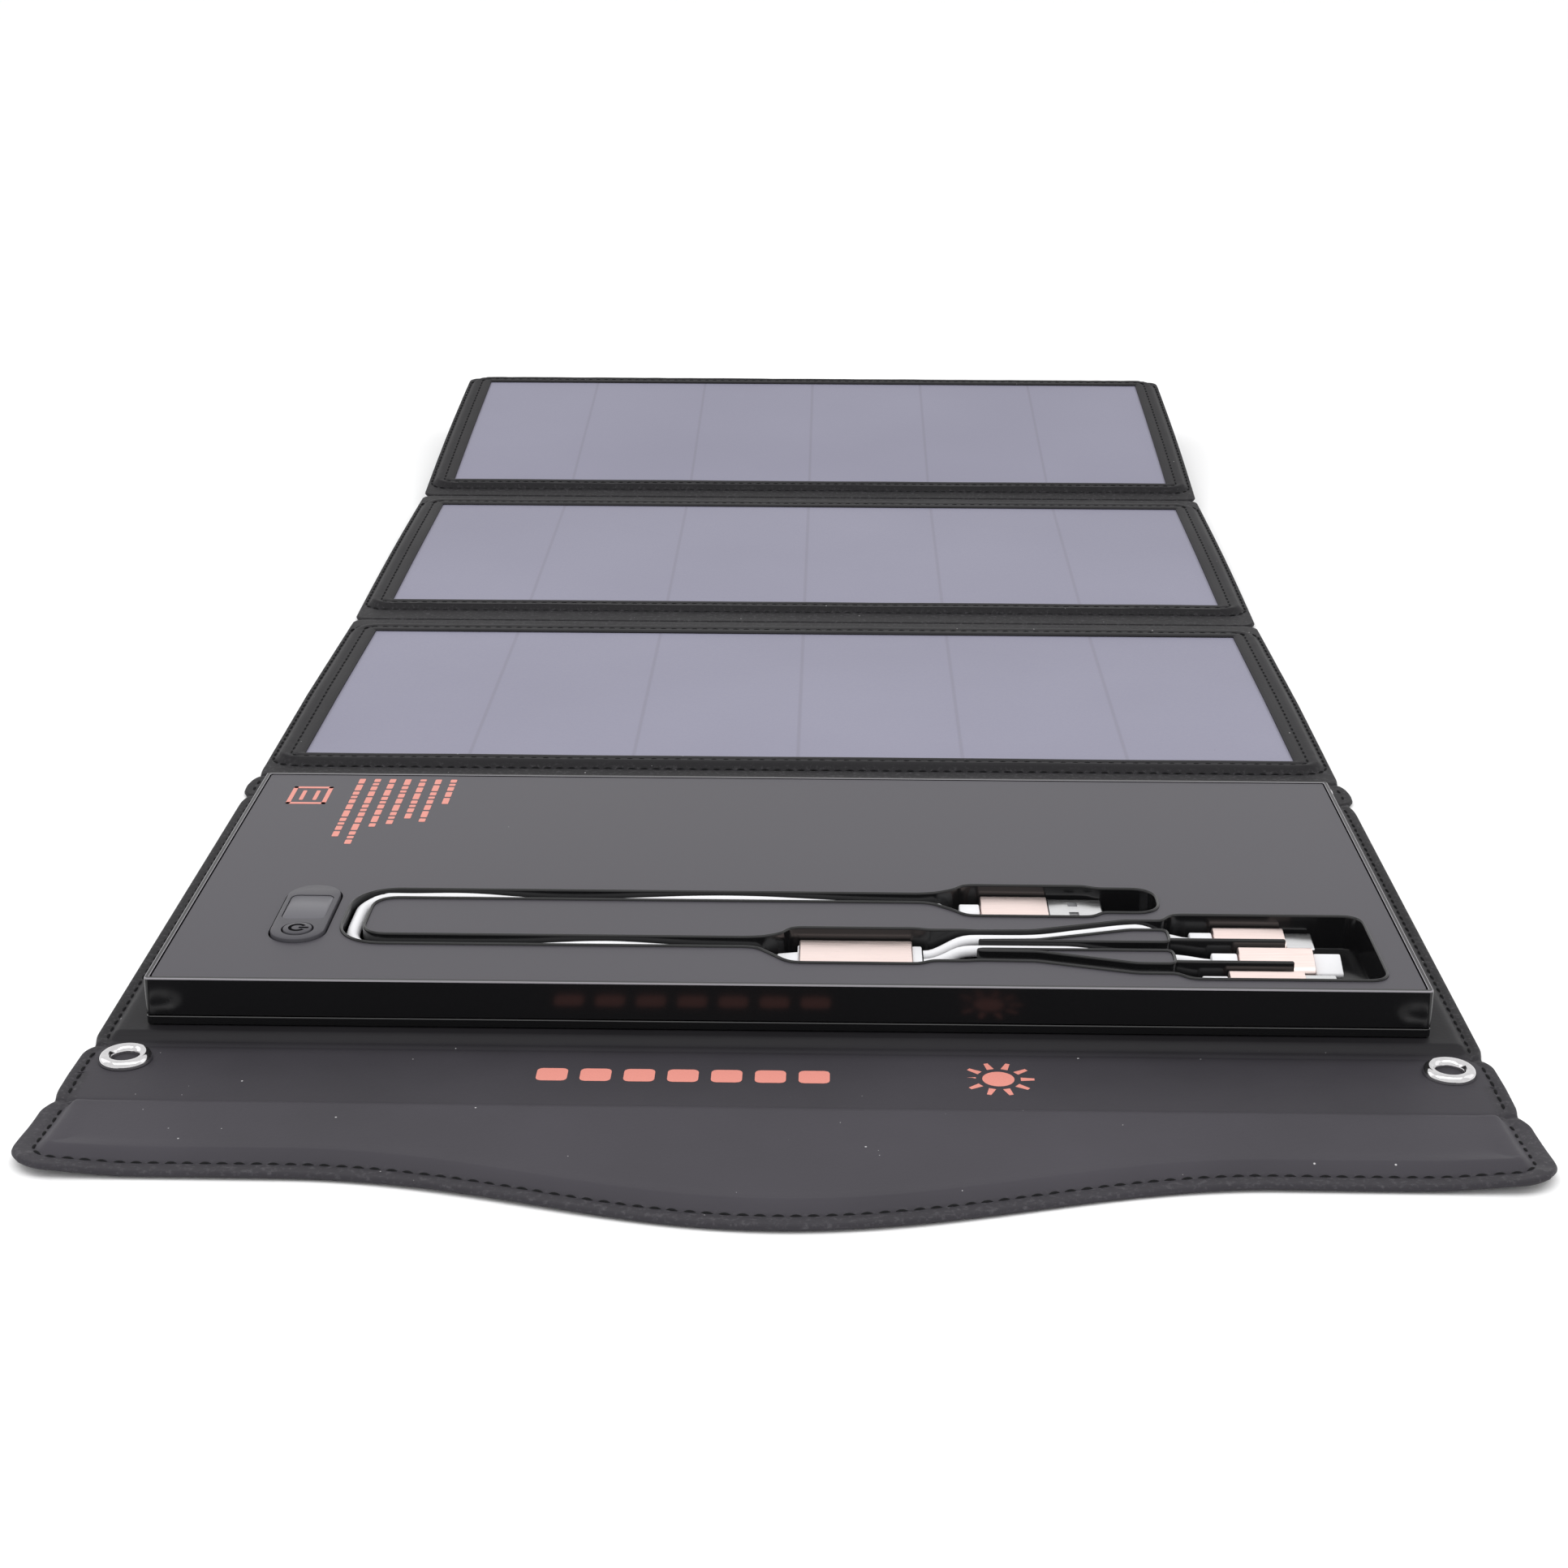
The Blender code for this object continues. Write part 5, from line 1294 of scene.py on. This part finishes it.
def lead():
    tube("main_cable_jacket", main_cable(), CABLE_R, "main_cable")
    for i in range(len(BRANCHES)):
        tube("branch_jacket_%d" % (i + 1), branch_cable(i), BRANCH_R, "branch_cable_%d" % (i + 1))

    place = plug_place(USB_A_Y)
    plug_body("usb_a_strain_relief", place, 174.6, 179.2, (7.2, 4.6, 1.9), WHITE, "usb_a_collar",
              "white_plastic")
    plug_body("usb_a_grip", place, 179.5, 194.7, (13.6, 5.6, 1.4), ROSE, "usb_a_sleeve",
              "rose_metal", 0.3)
    plug_mouth("usb_a_plug_shell", place, 195.0, 207.0, (12.0, 4.5, 0.5), 0.35, "usb_a_shell",
               ((200.5, -2.9), (200.5, 2.9)))
    insert("usb_a_tongue", place, 196.3, 206.4, (11.1, 1.7, 0.2), WHITE, "white_plastic", -0.9)

    x0, x1, y = JUNCTION
    place = plug_place(y)
    rings = sections((15.6, 5.4, 1.7),
                     [(x0, -0.25), (x0 + 0.25, 0.0), (x1 - 0.25, 0.0), (x1, -0.25)])
    rings += sections((14.2, 4.0, 1.0), [(x1, 0.0), (x0, 0.0)])
    attach(loft("junction_grip", rings, place, ROSE, ring=True),
           "charging_lead", "rose_metal", "junction_sleeve")
    plug_body("junction_block", place, x0 - 0.4, x1 + 2.1, (13.6, 3.4, 1.2), WHITE,
              "junction_core", "white_plastic", 0.3)
    neck = sections((5.6, 3.2, 1.4), [(x0 - 4.8, -0.3), (x0 - 4.5, -0.05), (x0 - 0.3, 0.3)])
    attach(loft("junction_neck", neck, place, WHITE), "charging_lead", "white_plastic")

    plugs = (     # collar, sleeve, sleeve's end and tip along x; section, wall, roll
        ("micro_usb", LANES[0], 225.2, 230.5, 246.5, 252.5, (6.85, 1.8, 0.5), 0.3, 8.0),
        ("slim_tab", LANES[1], 228.6, 234.5, 251.0, 257.0, (6.65, 1.5, 0.7), 0.0, 22.0),
        ("usb_c", LANES[2], 225.2, 231.0, 247.5, 254.0, (8.3, 2.4, 1.15), 0.3, 8.0),
    )
    for label, lane, x_collar, x_sleeve, x_end, x_tip, size, wall, roll in plugs:
        place = plug_place(lane, roll)
        plug_body(label + "_strain_relief", place, x_collar, x_sleeve - 0.3, (5.4, 3.6, 1.6),
                  WHITE, label + "_collar", "white_plastic")
        plug_body(label + "_grip", place, x_sleeve, x_end - 0.3, (8.3, 4.6, 1.6), ROSE,
                  label + "_sleeve", "rose_metal", 0.25)
        if wall:
            plug_mouth(label + "_plug_shell", place, x_end, x_tip, size, wall, label + "_shell")
            insert(label + "_tongue", place, x_end + 1.3, x_tip - 0.5,
                   (size[0] * 0.62, size[1] * 0.26, 0.1), GLOSS, "black_plastic")
        else:
            plug_body(label + "_plug_tab", place, x_end, x_tip, size, WHITE, label + "_tab",
                      "white_plastic", 0.4)


# ---- CAD nodes that stay, floor, light and camera ----
def carried_over():
    """Better materials on the CAD nodes that stay."""
    looks = {"solar_laminate": PANEL, "board": BOARD, "foam_pad": FOAM, "magnet": MAGNET,
             "circuit_board": CIRCUIT, "battery_cell": FOIL, "_port": STEEL, "keeper": STEEL}
    for name, node in frame["nodes"].items():
        for part, mat in looks.items():
            if part in name and not node.hide_render:
                node.data.materials.clear()
                node.data.materials.append(mat)
                break


def stage():
    mesh = bpy.data.meshes.new("floor")
    r = FLOOR_REACH
    mesh.from_pydata([(-r, -r, 0), (r, -r, 0), (r, r, 0), (-r, r, 0)], [], [(0, 1, 2, 3)])
    mesh.materials.append(floor_material())
    floor = bpy.data.objects.new("floor", mesh)
    floor.location.z = -0.0002
    bpy.context.scene.collection.objects.link(floor)


def light_and_camera():
    scene = bpy.context.scene
    world = bpy.data.worlds.new("studio")
    world.use_nodes = True
    background = world.node_tree.nodes["Background"]
    background.inputs["Color"].default_value = (1.0, 1.0, 1.0, 1.0)
    background.inputs["Strength"].default_value = WORLD_STRENGTH
    scene.world = world
    for name, place, aim, size, watts in LIGHTS:
        light = bpy.data.lights.new(name, "AREA")
        light.shape = "RECTANGLE"
        light.size, light.size_y = size
        light.energy = watts
        obj = bpy.data.objects.new(name, light)
        obj.location = place
        obj.rotation_euler = (Vector(aim) - Vector(place)).to_track_quat("-Z", "Y").to_euler()
        scene.collection.objects.link(obj)
    camera = bpy.data.cameras.new("camera")
    camera.sensor_width = 36.0
    camera.lens = CAMERA_LENS
    camera.clip_start = 0.01
    obj = bpy.data.objects.new("camera", camera)
    obj.location = CAMERA_PLACE
    obj.rotation_euler = tuple(math.radians(a) for a in CAMERA_TURN_DEG)
    scene.collection.objects.link(obj)
    scene.camera = obj
    scene.view_settings.view_transform = "Standard"


wallet()
eyelets()
bank_shell()
tray_and_plate()
fins()
display()
printing()
lead()
carried_over()
stage()
light_and_camera()
